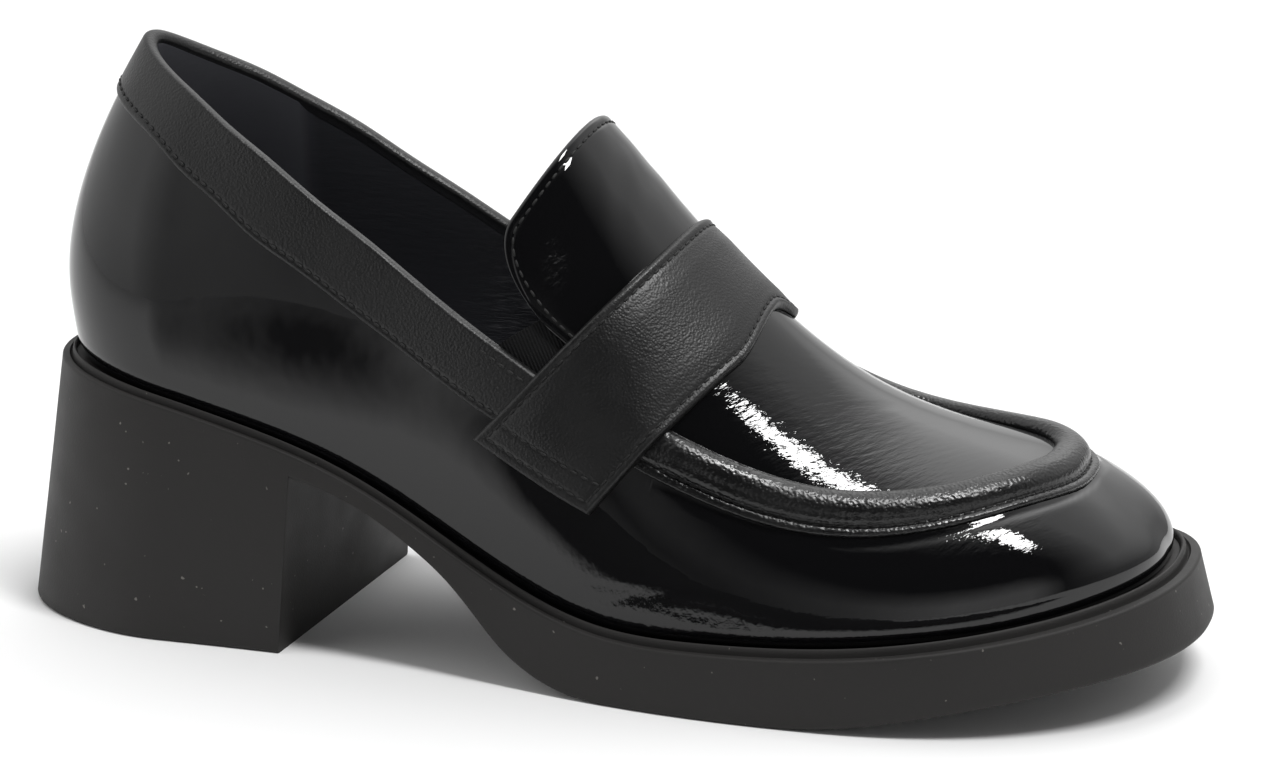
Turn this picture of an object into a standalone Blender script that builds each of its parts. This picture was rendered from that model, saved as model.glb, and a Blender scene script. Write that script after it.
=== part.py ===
"""Right block heel loafer in metres: moulded sole unit, hollow upper, insole, tongue, strap and trims.

All sizes are millimetres until the last step. The long axis is X with the toe at +X, the lateral
side of the shoe is at -Y, and Z is up from the floor. A place on the upper is given by its station
along X and its girth: -1 at the lateral seat, 0 on the ridge of the instep, +1 at the medial seat.
"""
import bmesh
import bpy
import numpy as np

for old in list(bpy.data.objects):
    bpy.data.objects.remove(old, do_unlink=True)

MM = 0.001

# Main sizes
HEEL_X = 15.0
TOE_X = 254.0
BREAST_LOW = 75.2
BREAST_HIGH = 77.4
TREAD_START = 150.0
TREAD_END = 180.0
WALL = 1.8
GAP = 0.35
THROAT_START = 134.0
THROAT_END = 158.0

# The last: half widths of the seat, of the belly handle and of the shoulder, and the ridge, per station
LAST_COLUMNS = ("x", "seat_lateral", "seat_medial", "belly_lateral", "belly_medial",
                "belly_rise", "shoulder", "ridge", "axis")
LAST_ROWS = (
    (12, 29.0, 29.0, 30.0, 30.0, 42, 5.0, 134.0, 0.0),
    (40, 30.0, 29.5, 32.5, 32.0, 42, 7.0, 134.0, 0.0),
    (70, 30.5, 29.0, 35.0, 33.0, 42, 14.0, 139.0, 0.0),
    (100, 32.0, 29.0, 38.5, 35.0, 42, 19.0, 128.0, 0.0),
    (125, 36.0, 32.0, 43.5, 39.0, 41, 23.0, 118.9, 0.0),
    (150, 41.0, 38.0, 47.0, 43.0, 36, 22.5, 93.7, 0.5),
    (170, 43.5, 42.0, 48.0, 45.5, 29, 18.1, 74.0, 1.5),
    (190, 44.5, 44.0, 48.0, 46.5, 24, 17.8, 58.9, 3.0),
    (210, 44.5, 44.0, 47.0, 46.0, 21, 16.6, 51.0, 5.0),
    (230, 44.0, 43.0, 46.0, 44.5, 19, 17.3, 46.6, 7.0),
    (255, 42.0, 41.0, 44.0, 43.0, 18, 19.4, 39.8, 9.0),
)

# Side view of the sole as station and height: the ledge, and the underside in the arch and in the toe
LEDGE_ROWS = ((0, 57.8), (30, 54.0), (60, 47.6), (90, 38.3), (120, 23.6), (145, 14.6),
              (170, 13.4), (195, 14.8), (220, 18.2), (245, 22.9), (266, 27.4))
ARCH_ROWS = ((76.5, 38.0), (87, 35.2), (98, 30.5), (107, 25.3), (114, 20.3), (120, 14.6),
             (126, 8.6), (133, 3.9), (142, 0.8), (150, 0.0))
SPRING_ROWS = ((180, 0.0), (190, 0.3), (200, 1.5), (212, 3.9), (226, 6.9), (240, 9.6), (254, 11.8), (266, 13.4))

# Plan of the sole as station and reach: the ledge beyond the seat, and the flare of the wall below it
LEDGE_WIDTH_ROWS = ((15, 4.2), (30, 3.4), (60, 3.1), (130, 3.4), (170, 4.2), (220, 5.2), (255, 5.6))
HEEL_FLARE_ROWS = ((15, 8.9), (24, 5.6), (40, 4.0), (60, 3.3), (76, 3.0))
FRONT_FLARE_ROWS = ((77, 0.3), (130, 0.8), (200, 0.8), (240, 2.0), (255, 3.2))

# Back seam as height above the seat and forward lean, which fades out along the shoe
BACK_ROWS = ((0, 2.0), (7, 0.7), (15, -0.4), (30, 1.2), (45, 6.4), (60, 14.0), (66, 17.5), (90, 31.0))
BACK_REACH = 75.0

# Rounding of heel and toe in plan, and of the toe in height
HEEL_ROUND_LENGTH = 32.0
HEEL_ROUND_POWER = 2.15
TOE_ROUND_START = 196.0
TOE_ROUND_POWER = 2.35
TOE_DROP_START = 224.3
TOE_DROP_POWER = 2.0

# Topline and lower edge of its facing as station and girth
COLLAR_ROWS = ((15, 0.33), (34, 0.402), (44, 0.447), (57, 0.511), (70, 0.557), (82, 0.589), (95, 0.609),
               (108, 0.63), (122, 0.642), (134, 0.64))
FACING_ROWS = ((15, 0.48), (27, 0.513), (39, 0.556), (48, 0.602), (58, 0.643), (67, 0.68), (78, 0.704),
               (90, 0.724), (102, 0.736), (114, 0.746), (134, 0.742))
BAND_THICK = 1.2
BAND_END_GAP = 0.55

# Strap: where its edges cross the ridge, how far they fall back at the ends, and the hollow in front
STRAP_END = 0.795
STRAP_REAR_RIDGE = 154.0
STRAP_REAR_FALL = 34.3
STRAP_REAR_POWER = 2.09
STRAP_FRONT_RIDGE = 174.6
STRAP_FRONT_FALL = 28.9
STRAP_THICK = 1.9
NOTCH_DEPTH = 3.0
NOTCH_LATERAL = 0.31
NOTCH_MEDIAL = 0.18
NOTCH_POWER = 1.5
BRIDGE_RISE = 1.2
BRIDGE_SPREAD = 0.06
BRIDGE_POWER = 3

# Roll round the apron, a rounded arch in station and girth whose medial arm lies higher
ROLL_BASE = 150.0
ROLL_LENGTH = 82.8
ROLL_LATERAL = 0.607
ROLL_MEDIAL = 0.468
ROLL_POWER = 2.83
ROLL_HALF_WIDTH = 3.8
ROLL_HEIGHT = 2.4
ROLL_CLEAR = 0.6
ROLL_END_GAP = 0.65
ROLL_START_ANGLE = 0.06

# Tongue and elastic
TONGUE_TOP = 133.8
TONGUE_FALL = 10.0
TONGUE_SHOULDER = 0.43
TONGUE_HALF = 0.552
TONGUE_CORNER = 21.0
TONGUE_FOOT_GAP = 0.8
GORE_INNER = 0.562
GORE_EDGE_GAP = 0.008
GORE_BACK = 123.0
GORE_FRONT = 143.0
GORE_SLANT = 11.5
GORE_THICK = 1.0
GORE_SINK = 0.5

# Cross section of the sole rim as share of the ledge width and rise above the ledge: bead, groove, ledge
RIM_ROWS = ((0.20, 0.0), (0.24, 1.0), (0.33, 1.5), (0.43, 1.1), (0.50, -0.6), (0.58, -0.6), (0.64, 0.0),
            (0.86, 0.0), (1.00, -0.7))
FOOT_ROUND = 0.7

INSOLE_THICK = 2.2
INSOLE_INSET = 2.6

# How finely each piece is divided
SOLE_COUNTS = {"heel": 13, "arch": 16, "tread": 5, "toe": 19}
UPPER_COUNTS = {"back": 19, "throat": 8, "front": 20, "rows": 14}
INSOLE_COUNTS = {"stations": 36, "across": 5}
STRAP_COUNTS = {"girth": 39, "across": 8}
BAND_COUNTS = {"stations": 25, "across": 4}
ROLL_COUNTS = {"stations": 61, "around": 8}
TONGUE_COUNTS = {"girth": 21, "rows": 9}
GORE_COUNT = 5
STATION_STEP = 0.002
GIRTH_STEP = 0.0001
WELD_DECIMALS = 3


def natural_spline(rows):
    """Smooth curve through the rows: cubic pieces whose slope and bending agree at every row."""
    knots, values = np.array(rows, float).T
    count = len(knots)
    step = np.diff(knots)
    slope = np.diff(values) / step
    system = np.eye(count)
    target = np.zeros(count)
    for i in range(1, count - 1):
        system[i, i - 1:i + 2] = step[i - 1], 2 * (step[i - 1] + step[i]), step[i]
        target[i] = 6 * (slope[i] - slope[i - 1])
    bend = np.linalg.solve(system, target)

    def curve(x):
        x = np.clip(x, knots[0], knots[-1])
        i = np.clip(np.searchsorted(knots, x) - 1, 0, count - 2)
        width = knots[i + 1] - knots[i]
        left = (knots[i + 1] - x) / width
        right = (x - knots[i]) / width
        sag = (left ** 3 - left) * bend[i] + (right ** 3 - right) * bend[i + 1]
        return left * values[i] + right * values[i + 1] + sag * width ** 2 / 6

    return curve


def column_splines(columns, rows):
    """One smooth curve per named column of a table, all against the first column."""
    table = np.array(rows, float)
    return {name: natural_spline(table[:, (0, i)]) for i, name in enumerate(columns) if i}


LAST = column_splines(LAST_COLUMNS, LAST_ROWS)
ledge_height = natural_spline(LEDGE_ROWS)
arch_height = natural_spline(ARCH_ROWS)
spring_height = natural_spline(SPRING_ROWS)
ledge_width = natural_spline(LEDGE_WIDTH_ROWS)
heel_flare = natural_spline(HEEL_FLARE_ROWS)
front_flare = natural_spline(FRONT_FLARE_ROWS)
back_lean = natural_spline(BACK_ROWS)
collar_girth = natural_spline(COLLAR_ROWS)
facing_girth = natural_spline(FACING_ROWS)


def unit(vectors):
    """Vectors scaled to length one."""
    return vectors / np.linalg.norm(vectors, axis=-1, keepdims=True)


def end_round(share, power):
    """Rounded end: one while the share is zero, falling to zero upright as the share reaches one."""
    return (1 - np.clip(share, 0, 1) ** power) ** (1 / power)


def plan_round(x):
    """Factor on all half widths: rounds off the heel and the toe in plan."""
    heel = end_round(1 - (x - HEEL_X) / HEEL_ROUND_LENGTH, HEEL_ROUND_POWER)
    toe = end_round((x - TOE_ROUND_START) / (TOE_X - TOE_ROUND_START), TOE_ROUND_POWER)
    return heel * toe


def last_point(x, girth):
    """Point of the outer surface. Each side is a cubic Bezier from the seat to the ridge."""
    x, girth = np.broadcast_arrays(np.asarray(x, float), np.asarray(girth, float))
    lateral = girth < 0
    t = 1 - np.abs(girth)
    wide = plan_round(x)
    seat = np.where(lateral, LAST["seat_lateral"](x), LAST["seat_medial"](x)) * wide
    belly = np.where(lateral, LAST["belly_lateral"](x), LAST["belly_medial"](x)) * wide
    shoulder = LAST["shoulder"](x) * wide
    drop = end_round((x - TOE_DROP_START) / (TOE_X - TOE_DROP_START), TOE_DROP_POWER)
    foot = ledge_height(x) + GAP
    height = (LAST["ridge"](x) - foot) * drop
    rise = LAST["belly_rise"](x) * drop
    b0, b1, b2, b3 = (1 - t) ** 3, 3 * t * (1 - t) ** 2, 3 * t ** 2 * (1 - t), t ** 3
    y = LAST["axis"](x) + np.where(lateral, -1, 1) * (b0 * seat + b1 * belly + b2 * shoulder)
    above = b1 * rise + (b2 + b3) * height
    fade = np.clip(1 - (x - HEEL_X) / BACK_REACH, 0, 1) ** 2
    return np.stack([x + back_lean(above) * fade, y, foot + above], -1)


def last_normal(x, girth):
    """Unit normal of the outer surface, from small steps along station and girth on the same side."""
    x = np.clip(x, HEEL_X + STATION_STEP, TOE_X - STATION_STEP)
    off_ridge = 2 * GIRTH_STEP
    girth = np.where(np.asarray(girth) < 0, np.minimum(girth, -off_ridge), np.maximum(girth, off_ridge))
    along = last_point(x + STATION_STEP, girth) - last_point(x - STATION_STEP, girth)
    around = last_point(x, girth + GIRTH_STEP) - last_point(x, girth - GIRTH_STEP)
    return unit(np.cross(along, around))


def raised_point(x, girth, lift):
    """Point at a height above the outer surface."""
    return last_point(x, girth) + last_normal(x, girth) * np.asarray(lift)[..., None]


def grid_faces(rows, columns, first=0):
    """Quads of a grid whose points are numbered row by row."""
    index = np.arange(rows * columns).reshape(rows, columns) + first
    corners = (index[:-1, :-1], index[1:, :-1], index[1:, 1:], index[:-1, 1:])
    return np.stack(corners, -1).reshape(-1, 4)


def ring_faces(rings, count):
    """Quads between closed rings of equal count, numbered ring by ring."""
    index = np.arange(rings * count).reshape(rings, count)
    after = np.roll(index, -1, 1)
    corners = (index[:-1], after[:-1], after[1:], index[1:])
    return np.stack(corners, -1).reshape(-1, 4).tolist()


def grids_to_sheet(*grids):
    """Several point grids as one list of points and quads."""
    points = np.concatenate([grid.reshape(-1, 3) for grid in grids])
    faces = []
    first = 0
    for grid in grids:
        rows, columns = grid.shape[:2]
        faces.append(grid_faces(rows, columns, first))
        first += rows * columns
    return points, np.concatenate(faces)


def weld(points, faces):
    """Join points that coincide and drop the corners and faces that collapse."""
    _, index, where = np.unique(np.round(points, WELD_DECIMALS), axis=0, return_index=True, return_inverse=True)
    where = where.reshape(-1)
    welded = []
    for face in faces:
        corners = [where[i] for i in face]
        kept = [c for k, c in enumerate(corners) if c != corners[k - 1]]
        if len(set(kept)) > 2:
            welded.append(tuple(kept))
    return points[index], welded


def vertex_normals(points, faces):
    """Area weighted normals of a welded sheet."""
    normals = np.zeros_like(points)
    for face in faces:
        for k in range(1, len(face) - 1):
            a, b, c = face[0], face[k], face[k + 1]
            area = np.cross(points[b] - points[a], points[c] - points[a])
            for corner in (a, b, c):
                normals[corner] += area
    return unit(normals)


def rimmed(points, sunk, faces):
    """Closed solid from a sheet and its sunk copy: both sheets and a rim along every open edge."""
    count = len(points)
    edges = {(face[k - 1], face[k]) for face in faces for k in range(len(face))}
    rim = [(b, a, a + count, b + count) for a, b in edges if (b, a) not in edges]
    back = [tuple(count + i for i in reversed(face)) for face in faces]
    return np.concatenate([points, sunk]), faces + back + sorted(rim)


def thicken(points, faces, wall):
    """Closed solid from a sheet: the sheet welded, and a copy sunk by the wall along its normals."""
    points, faces = weld(points, faces)
    return rimmed(points, points - vertex_normals(points, faces) * wall, faces)


def principled(name, colour, roughness, coat=0.0):
    """Plain material for one piece."""
    material = bpy.data.materials.new(name)
    material.use_nodes = True
    shader = material.node_tree.nodes["Principled BSDF"]
    shader.inputs["Base Color"].default_value = (*colour, 1.0)
    shader.inputs["Roughness"].default_value = roughness
    shader.inputs["Coat Weight"].default_value = coat
    return material


def add_piece(name, points, faces, material):
    """Named mesh object in metres about the middle of the sole, with its faces turned outwards."""
    mesh = bpy.data.meshes.new(name)
    mesh.from_pydata(((points - MIDDLE) * MM).tolist(), [], [tuple(int(i) for i in face) for face in faces])
    work = bmesh.new()
    work.from_mesh(mesh)
    bmesh.ops.recalc_face_normals(work, faces=work.faces)
    work.to_mesh(mesh)
    work.free()
    mesh.materials.append(material)
    piece = bpy.data.objects.new(name, mesh)
    bpy.context.scene.collection.objects.link(piece)


def eased(start, end, count, ease_start, ease_end):
    """Stations between two values, packed towards the ends that are eased."""
    u = np.linspace(0, 1, count)
    if ease_start and ease_end:
        u = (1 - np.cos(np.pi * u)) / 2
    elif ease_start:
        u = 1 - np.cos(np.pi * u / 2)
    elif ease_end:
        u = np.sin(np.pi * u / 2)
    return start + (end - start) * u


def seat_loop(x, out):
    """Closed plan outline of the seat moved outwards: lateral heel to toe, then medial back to the heel."""
    lateral = last_point(x, np.full_like(x, -1.0))[:, :2]
    medial = last_point(x, np.full_like(x, 1.0))[:, :2]
    loop = np.concatenate([lateral, medial[-2:0:-1]])
    tangent = unit(np.roll(loop, -1, 0) - np.roll(loop, 1, 0))
    outwards = np.stack([tangent[:, 1], -tangent[:, 0]], 1)
    return loop + outwards * np.broadcast_to(out, len(loop))[:, None]


def looped(values):
    """Station values repeated for the way back along the medial side."""
    return np.concatenate([values, values[-2:0:-1]])


def strip_faces(count, first):
    """Quads across a closed loop, from each lateral point to the medial point of the same station."""
    loop = 2 * count - 2
    faces = []
    for i in range(count - 1):
        far = [(loop - k) % loop for k in (i, i + 1)]
        faces.append((first + i, first + i + 1, first + far[1], first + far[0]))
    return faces


def sole_stations():
    """Stations of the sole, with a pair at the heel breast."""
    heel = eased(HEEL_X, BREAST_LOW, SOLE_COUNTS["heel"], True, False)
    arch = np.linspace(BREAST_HIGH, TREAD_START, SOLE_COUNTS["arch"])
    tread = np.linspace(TREAD_START, TREAD_END, SOLE_COUNTS["tread"])[1:]
    toe = eased(TREAD_END, TOE_X, SOLE_COUNTS["toe"], False, True)[1:]
    return np.concatenate([heel, arch, tread, toe])


def underside(x):
    """Height of the underside: heel and tread on the floor, arch and toe raised."""
    arch = np.maximum(arch_height(x), 0)
    toe = np.maximum(spring_height(x), 0)
    raised = np.where(x < TREAD_START, arch, np.where(x > TREAD_END, toe, 0))
    return np.where(x <= BREAST_LOW, 0, raised)


def foot_reach(x):
    """Outward reach of the wall at its foot: the ledge and the flare below it."""
    return ledge_width(x) + np.where(x <= BREAST_LOW, heel_flare(x), front_flare(x))


def sole_rings(x):
    """Rings of the sole from the inner edge of the bead over groove and ledge down to the floor."""
    ledge = looped(ledge_height(x))
    width = looped(ledge_width(x))
    low = looped(underside(x))
    reach = looped(foot_reach(x))
    rings = [(width * out, ledge + up) for out, up in RIM_ROWS]
    rings.append((reach, low + FOOT_ROUND))
    rings.append((reach - FOOT_ROUND, low))
    return [np.column_stack([seat_loop(x, out), height]) for out, height in rings]


def build_sole():
    """One moulded unit: stacked rings closed by a strip on top and a strip underneath."""
    x = sole_stations()
    rings = sole_rings(x)
    loop = len(rings[0])
    faces = ring_faces(len(rings), loop) + strip_faces(len(x), 0)
    faces += [face[::-1] for face in strip_faces(len(x), (len(rings) - 1) * loop)]
    points, faces = weld(np.concatenate(rings), faces)
    add_piece("sole_unit", points, faces, principled("sole_rubber", (0.03, 0.028, 0.027), 0.6))


def opening_girth(x):
    """Girth of the upper's free edge: the topline, then the throat closing on the ridge as a quarter ellipse."""
    share = (x - THROAT_START) / (THROAT_END - THROAT_START)
    return collar_girth(x) * end_round(share, 2)


def build_upper():
    """Hollow shell: each side runs from the seat up to the topline, throat or ridge; then a wall."""
    back = eased(HEEL_X, THROAT_START, UPPER_COUNTS["back"], True, False)
    throat = eased(THROAT_START, THROAT_END, UPPER_COUNTS["throat"], False, True)[1:]
    front = eased(THROAT_END, TOE_X, UPPER_COUNTS["front"], False, True)[1:]
    x = np.concatenate([back, throat, front])[:, None]
    share = np.linspace(0, 1, UPPER_COUNTS["rows"])
    girth = 1 - share * (1 - opening_girth(x))
    lateral = last_point(x, -girth)
    medial = last_point(x, girth)[:, ::-1]
    points, faces = thicken(*grids_to_sheet(lateral, medial), WALL)
    add_piece("upper", points, faces, principled("patent_leather", (0.012, 0.012, 0.013), 0.12, 1.0))


def build_insole():
    """Foot bed: the seat outline moved inwards past the upper's wall."""
    x = eased(HEEL_X, TOE_X, INSOLE_COUNTS["stations"], True, True)
    loop = seat_loop(x, -INSOLE_INSET)
    lateral = loop[:len(x)]
    medial = loop[-np.arange(len(x)) % len(loop)]
    across = np.linspace(0, 1, INSOLE_COUNTS["across"])[None, :, None]
    plan = lateral[:, None] * (1 - across) + medial[:, None] * across
    height = ledge_height(x)[:, None] + GAP + INSOLE_THICK
    grid = np.concatenate([plan, np.broadcast_to(height, plan.shape[:2])[..., None]], -1)
    points, faces = thicken(*grids_to_sheet(grid), INSOLE_THICK)
    add_piece("insole", points, faces, principled("insole_leather", (0.014, 0.014, 0.018), 0.5))


def strap_rear(girth):
    """Station of the strap's rear edge."""
    return STRAP_REAR_RIDGE - STRAP_REAR_FALL * (np.abs(girth) / STRAP_END) ** STRAP_REAR_POWER


def strap_front(girth):
    """Station of the strap's front edge, with the hollow at the ridge."""
    half = np.where(girth < 0, NOTCH_LATERAL, NOTCH_MEDIAL)
    notch = np.clip(1 - (girth / half) ** 2, 0, 1) ** NOTCH_POWER
    return STRAP_FRONT_RIDGE - STRAP_FRONT_FALL * (girth / STRAP_END) ** 2 - NOTCH_DEPTH * notch


def roll_girth(girth):
    """Girth where the arm of the roll on the same side starts under the strap."""
    return np.where(girth < 0, ROLL_LATERAL, ROLL_MEDIAL)


def build_strap():
    """Saddle strap laid over the upper from side to side, swelling where it bridges the roll."""
    girth = np.linspace(-STRAP_END, STRAP_END, STRAP_COUNTS["girth"])[None, :]
    share = np.linspace(0, 1, STRAP_COUNTS["across"])[:, None]
    x = strap_rear(girth) * (1 - share) + strap_front(girth) * share
    girth = np.broadcast_to(girth, x.shape)
    from_roll = (np.abs(girth) - roll_girth(girth)) / BRIDGE_SPREAD
    thick = STRAP_THICK + BRIDGE_RISE * np.exp(-from_roll ** 2) * share ** BRIDGE_POWER
    points, faces = grids_to_sheet(raised_point(x, girth, GAP + thick))
    sunk, _ = grids_to_sheet(raised_point(x, girth, np.full(x.shape, GAP)))
    points, faces = rimmed(points, sunk, [tuple(face) for face in faces.tolist()])
    add_piece("strap", points, faces, principled("strap_leather", (0.016, 0.016, 0.017), 0.38))


def build_collar_band():
    """Facing on the outside of the topline, round the heel, ending just short of the strap."""
    along = eased(0.0, 1.0, BAND_COUNTS["stations"], True, False)[:, None]
    down = np.linspace(0, 1, BAND_COUNTS["across"])[None, :]
    end_girth = collar_girth(THROAT_START) * (1 - down) + facing_girth(THROAT_START) * down
    x = HEEL_X + (strap_rear(end_girth) - BAND_END_GAP - HEEL_X) * along
    girth = collar_girth(x) * (1 - down) + facing_girth(x) * down
    lift = np.full(x.shape, GAP + BAND_THICK)
    lateral = raised_point(x, -girth, lift)[:, ::-1]
    medial = raised_point(x, girth, lift)
    lateral[0, :, 1] = 0
    medial[0, :, 1] = 0
    points, faces = thicken(*grids_to_sheet(lateral, medial), BAND_THICK)
    add_piece("collar_band", points, faces, principled("band_leather", (0.016, 0.016, 0.017), 0.36))


def roll_path(angle):
    """Station and girth of the roll's middle line, a rounded arch from the lateral to the medial side."""
    power = 2 / ROLL_POWER
    x = ROLL_BASE + ROLL_LENGTH * np.sin(angle) ** power
    side = -np.sign(np.cos(angle))
    return x, side * roll_girth(side) * np.abs(np.cos(angle)) ** power


def build_roll():
    """Puffed roll: a half round carried along its path on the outer surface, closed at both ends."""
    angle = np.linspace(ROLL_START_ANGLE, np.pi - ROLL_START_ANGLE, ROLL_COUNTS["stations"])
    x, girth = roll_path(angle)
    clear = x > strap_front(girth) + ROLL_END_GAP
    x, girth = x[clear], girth[clear]
    middle = last_point(x, girth)
    normal = last_normal(x, girth)
    across = unit(np.cross(normal, np.gradient(middle, axis=0)))
    turn = np.linspace(0, np.pi, ROLL_COUNTS["around"])
    side = ROLL_HALF_WIDTH * np.cos(turn)[None, :, None]
    lift = (ROLL_CLEAR + ROLL_HEIGHT * np.sin(turn))[None, :, None]
    rings = middle[:, None] + across[:, None] * side + normal[:, None] * lift
    rows, columns = rings.shape[:2]
    last_ring = (rows - 1) * columns
    ends = [tuple(range(columns)), tuple(range(last_ring, last_ring + columns))]
    faces = ring_faces(rows, columns) + ends
    add_piece("apron_roll", rings.reshape(-1, 3), faces, principled("roll_leather", (0.016, 0.016, 0.017), 0.34))


def throat_station(girth):
    """Station of the upper's throat edge at a girth."""
    share = np.clip(np.abs(girth) / collar_girth(THROAT_START), 0, 1)
    return THROAT_START + (THROAT_END - THROAT_START) * np.sqrt(1 - share ** 2)


def tongue_top(girth):
    """Station of the tongue's free edge: a shallow arch with rounded corners."""
    side = np.abs(girth)
    corner = np.clip((side - TONGUE_SHOULDER) / (TONGUE_HALF - TONGUE_SHOULDER), 0, 1)
    arch = TONGUE_TOP - TONGUE_FALL * (side / TONGUE_SHOULDER) ** 2
    return arch + TONGUE_CORNER * (1 - np.sqrt(1 - corner ** 2))


def build_tongue():
    """Tab that carries the apron's surface on above the strap; its foot is hidden under the strap."""
    girth = TONGUE_HALF * np.sin(np.linspace(-np.pi / 2, np.pi / 2, TONGUE_COUNTS["girth"]))[None, :]
    share = np.linspace(0, 1, TONGUE_COUNTS["rows"])[:, None]
    x = tongue_top(girth) * (1 - share) + (throat_station(girth) - TONGUE_FOOT_GAP) * share
    grid = last_point(x, girth)
    points, faces = thicken(*grids_to_sheet(grid), WALL)
    add_piece("tongue", points, faces, principled("tongue_patent", (0.012, 0.012, 0.013), 0.14, 1.0))


def build_gore(name, side):
    """Elastic piece between the topline's front end and the tongue's edge, sunk a little."""
    share = np.linspace(0, 1, GORE_COUNT)[:, None]
    across = np.linspace(0, 1, GORE_COUNT)[None, :]
    start = GORE_BACK + GORE_SLANT * across
    x = start + (GORE_FRONT - start) * share
    girth = (opening_girth(x) - GORE_EDGE_GAP) * (1 - across) + GORE_INNER * across
    grid = raised_point(x, side * girth, np.full(x.shape, -GORE_SINK))
    if side > 0:
        grid = grid[:, ::-1]
    points, faces = thicken(*grids_to_sheet(grid), GORE_THICK)
    add_piece(name, points, faces, principled(name + "_elastic", (0.02, 0.02, 0.021), 0.75))


def middle_of_sole():
    """Middle of the sole's plan box, which becomes the origin on the floor."""
    x = sole_stations()
    foot = seat_loop(x, looped(foot_reach(x)))
    return np.array([*(foot.min(0) + foot.max(0)) / 2, 0.0])


MIDDLE = middle_of_sole()
build_sole()
build_upper()
build_insole()
build_tongue()
build_strap()
build_collar_band()
build_roll()
build_gore("gore_lateral", -1)
build_gore("gore_medial", 1)
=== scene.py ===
# %% [markdown]
# # A block heel loafer in patent leather
# This lesson dresses the plain solids of a right shoe. Each cell makes one real piece of the shoe: the
# moulded sole, the lasted upper with its lining, the tongue, the saddle strap, the topline facing, the
# puffed roll round the apron, the elastic, and the thread that holds them together. The solids come in as a
# fixed frame. New pieces are computed in millimetres and placed in that frame.

import bpy
import numpy as np
from mathutils import Matrix


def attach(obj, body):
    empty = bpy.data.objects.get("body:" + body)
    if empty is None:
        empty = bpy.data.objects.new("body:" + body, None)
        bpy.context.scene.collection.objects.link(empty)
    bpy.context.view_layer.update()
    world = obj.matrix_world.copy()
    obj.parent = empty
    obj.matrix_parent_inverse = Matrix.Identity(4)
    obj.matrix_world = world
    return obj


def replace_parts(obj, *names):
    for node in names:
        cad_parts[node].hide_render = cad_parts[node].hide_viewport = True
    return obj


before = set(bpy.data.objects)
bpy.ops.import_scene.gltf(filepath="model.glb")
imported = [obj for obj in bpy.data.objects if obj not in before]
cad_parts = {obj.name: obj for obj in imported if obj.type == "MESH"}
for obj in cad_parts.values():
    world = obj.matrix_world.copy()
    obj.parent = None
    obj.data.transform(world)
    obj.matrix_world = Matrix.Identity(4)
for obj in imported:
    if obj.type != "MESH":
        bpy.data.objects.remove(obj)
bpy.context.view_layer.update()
print("solids:", sorted(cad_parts))

# %% [markdown]
# ## The last
# A shoe is built round a last, a solid foot form. All leather pieces lie on it, so one function of two
# values gives every surface here: the station along the foot, and the girth, which is -1 at the outer seat,
# 0 on the ridge of the instep and +1 at the inner seat. The table holds a row for each station, in
# millimetres.

# %%
MM = 0.001
MIDDLE = np.array([133.302, 3.543, 0.0])
HEEL_X = 15.0
TOE_X = 254.0
SEAT_GAP = 0.35
LAST_COLUMNS = ("x", "seat_lateral", "seat_medial", "belly_lateral", "belly_medial",
                "belly_rise", "shoulder", "ridge", "axis")
LAST_ROWS = (
    (12, 29.0, 29.0, 30.0, 30.0, 42, 5.0, 134.0, 0.0),
    (40, 30.0, 29.5, 32.5, 32.0, 42, 7.0, 134.0, 0.0),
    (70, 30.5, 29.0, 35.0, 33.0, 42, 14.0, 139.0, 0.0),
    (100, 32.0, 29.0, 38.5, 35.0, 42, 19.0, 128.0, 0.0),
    (125, 36.0, 32.0, 43.5, 39.0, 41, 23.0, 118.9, 0.0),
    (150, 41.0, 38.0, 47.0, 43.0, 36, 22.5, 93.7, 0.5),
    (170, 43.5, 42.0, 48.0, 45.5, 29, 18.1, 74.0, 1.5),
    (190, 44.5, 44.0, 48.0, 46.5, 24, 17.8, 58.9, 3.0),
    (210, 44.5, 44.0, 47.0, 46.0, 21, 16.6, 51.0, 5.0),
    (230, 44.0, 43.0, 46.0, 44.5, 19, 17.3, 46.6, 7.0),
    (255, 42.0, 41.0, 44.0, 43.0, 18, 19.4, 39.8, 9.0),
)
LEDGE_ROWS = ((0, 57.8), (30, 54.0), (60, 47.6), (90, 38.3), (120, 23.6), (145, 14.6),
              (170, 13.4), (195, 14.8), (220, 18.2), (245, 22.9), (266, 27.4))
BACK_ROWS = ((0, 2.0), (7, 0.7), (15, -0.4), (30, 1.2), (45, 6.4), (60, 14.0), (66, 17.5), (90, 31.0))
BACK_REACH = 75.0
HEEL_ROUND_LENGTH, HEEL_ROUND_POWER = 32.0, 2.15
TOE_ROUND_START, TOE_ROUND_POWER = 196.0, 2.35
TOE_DROP_START, TOE_DROP_POWER = 224.3, 2.0


def natural_spline(rows):
    """Smooth curve through the rows: cubic pieces whose slope and bending agree at every row."""
    knots, values = np.array(rows, float).T
    count = len(knots)
    step = np.diff(knots)
    slope = np.diff(values) / step
    system = np.eye(count)
    target = np.zeros(count)
    for i in range(1, count - 1):
        system[i, i - 1:i + 2] = step[i - 1], 2 * (step[i - 1] + step[i]), step[i]
        target[i] = 6 * (slope[i] - slope[i - 1])
    bend = np.linalg.solve(system, target)

    def curve(x):
        x = np.clip(x, knots[0], knots[-1])
        i = np.clip(np.searchsorted(knots, x) - 1, 0, count - 2)
        width = knots[i + 1] - knots[i]
        left = (knots[i + 1] - x) / width
        right = (x - knots[i]) / width
        sag = (left ** 3 - left) * bend[i] + (right ** 3 - right) * bend[i + 1]
        return left * values[i] + right * values[i + 1] + sag * width ** 2 / 6

    return curve


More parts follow.
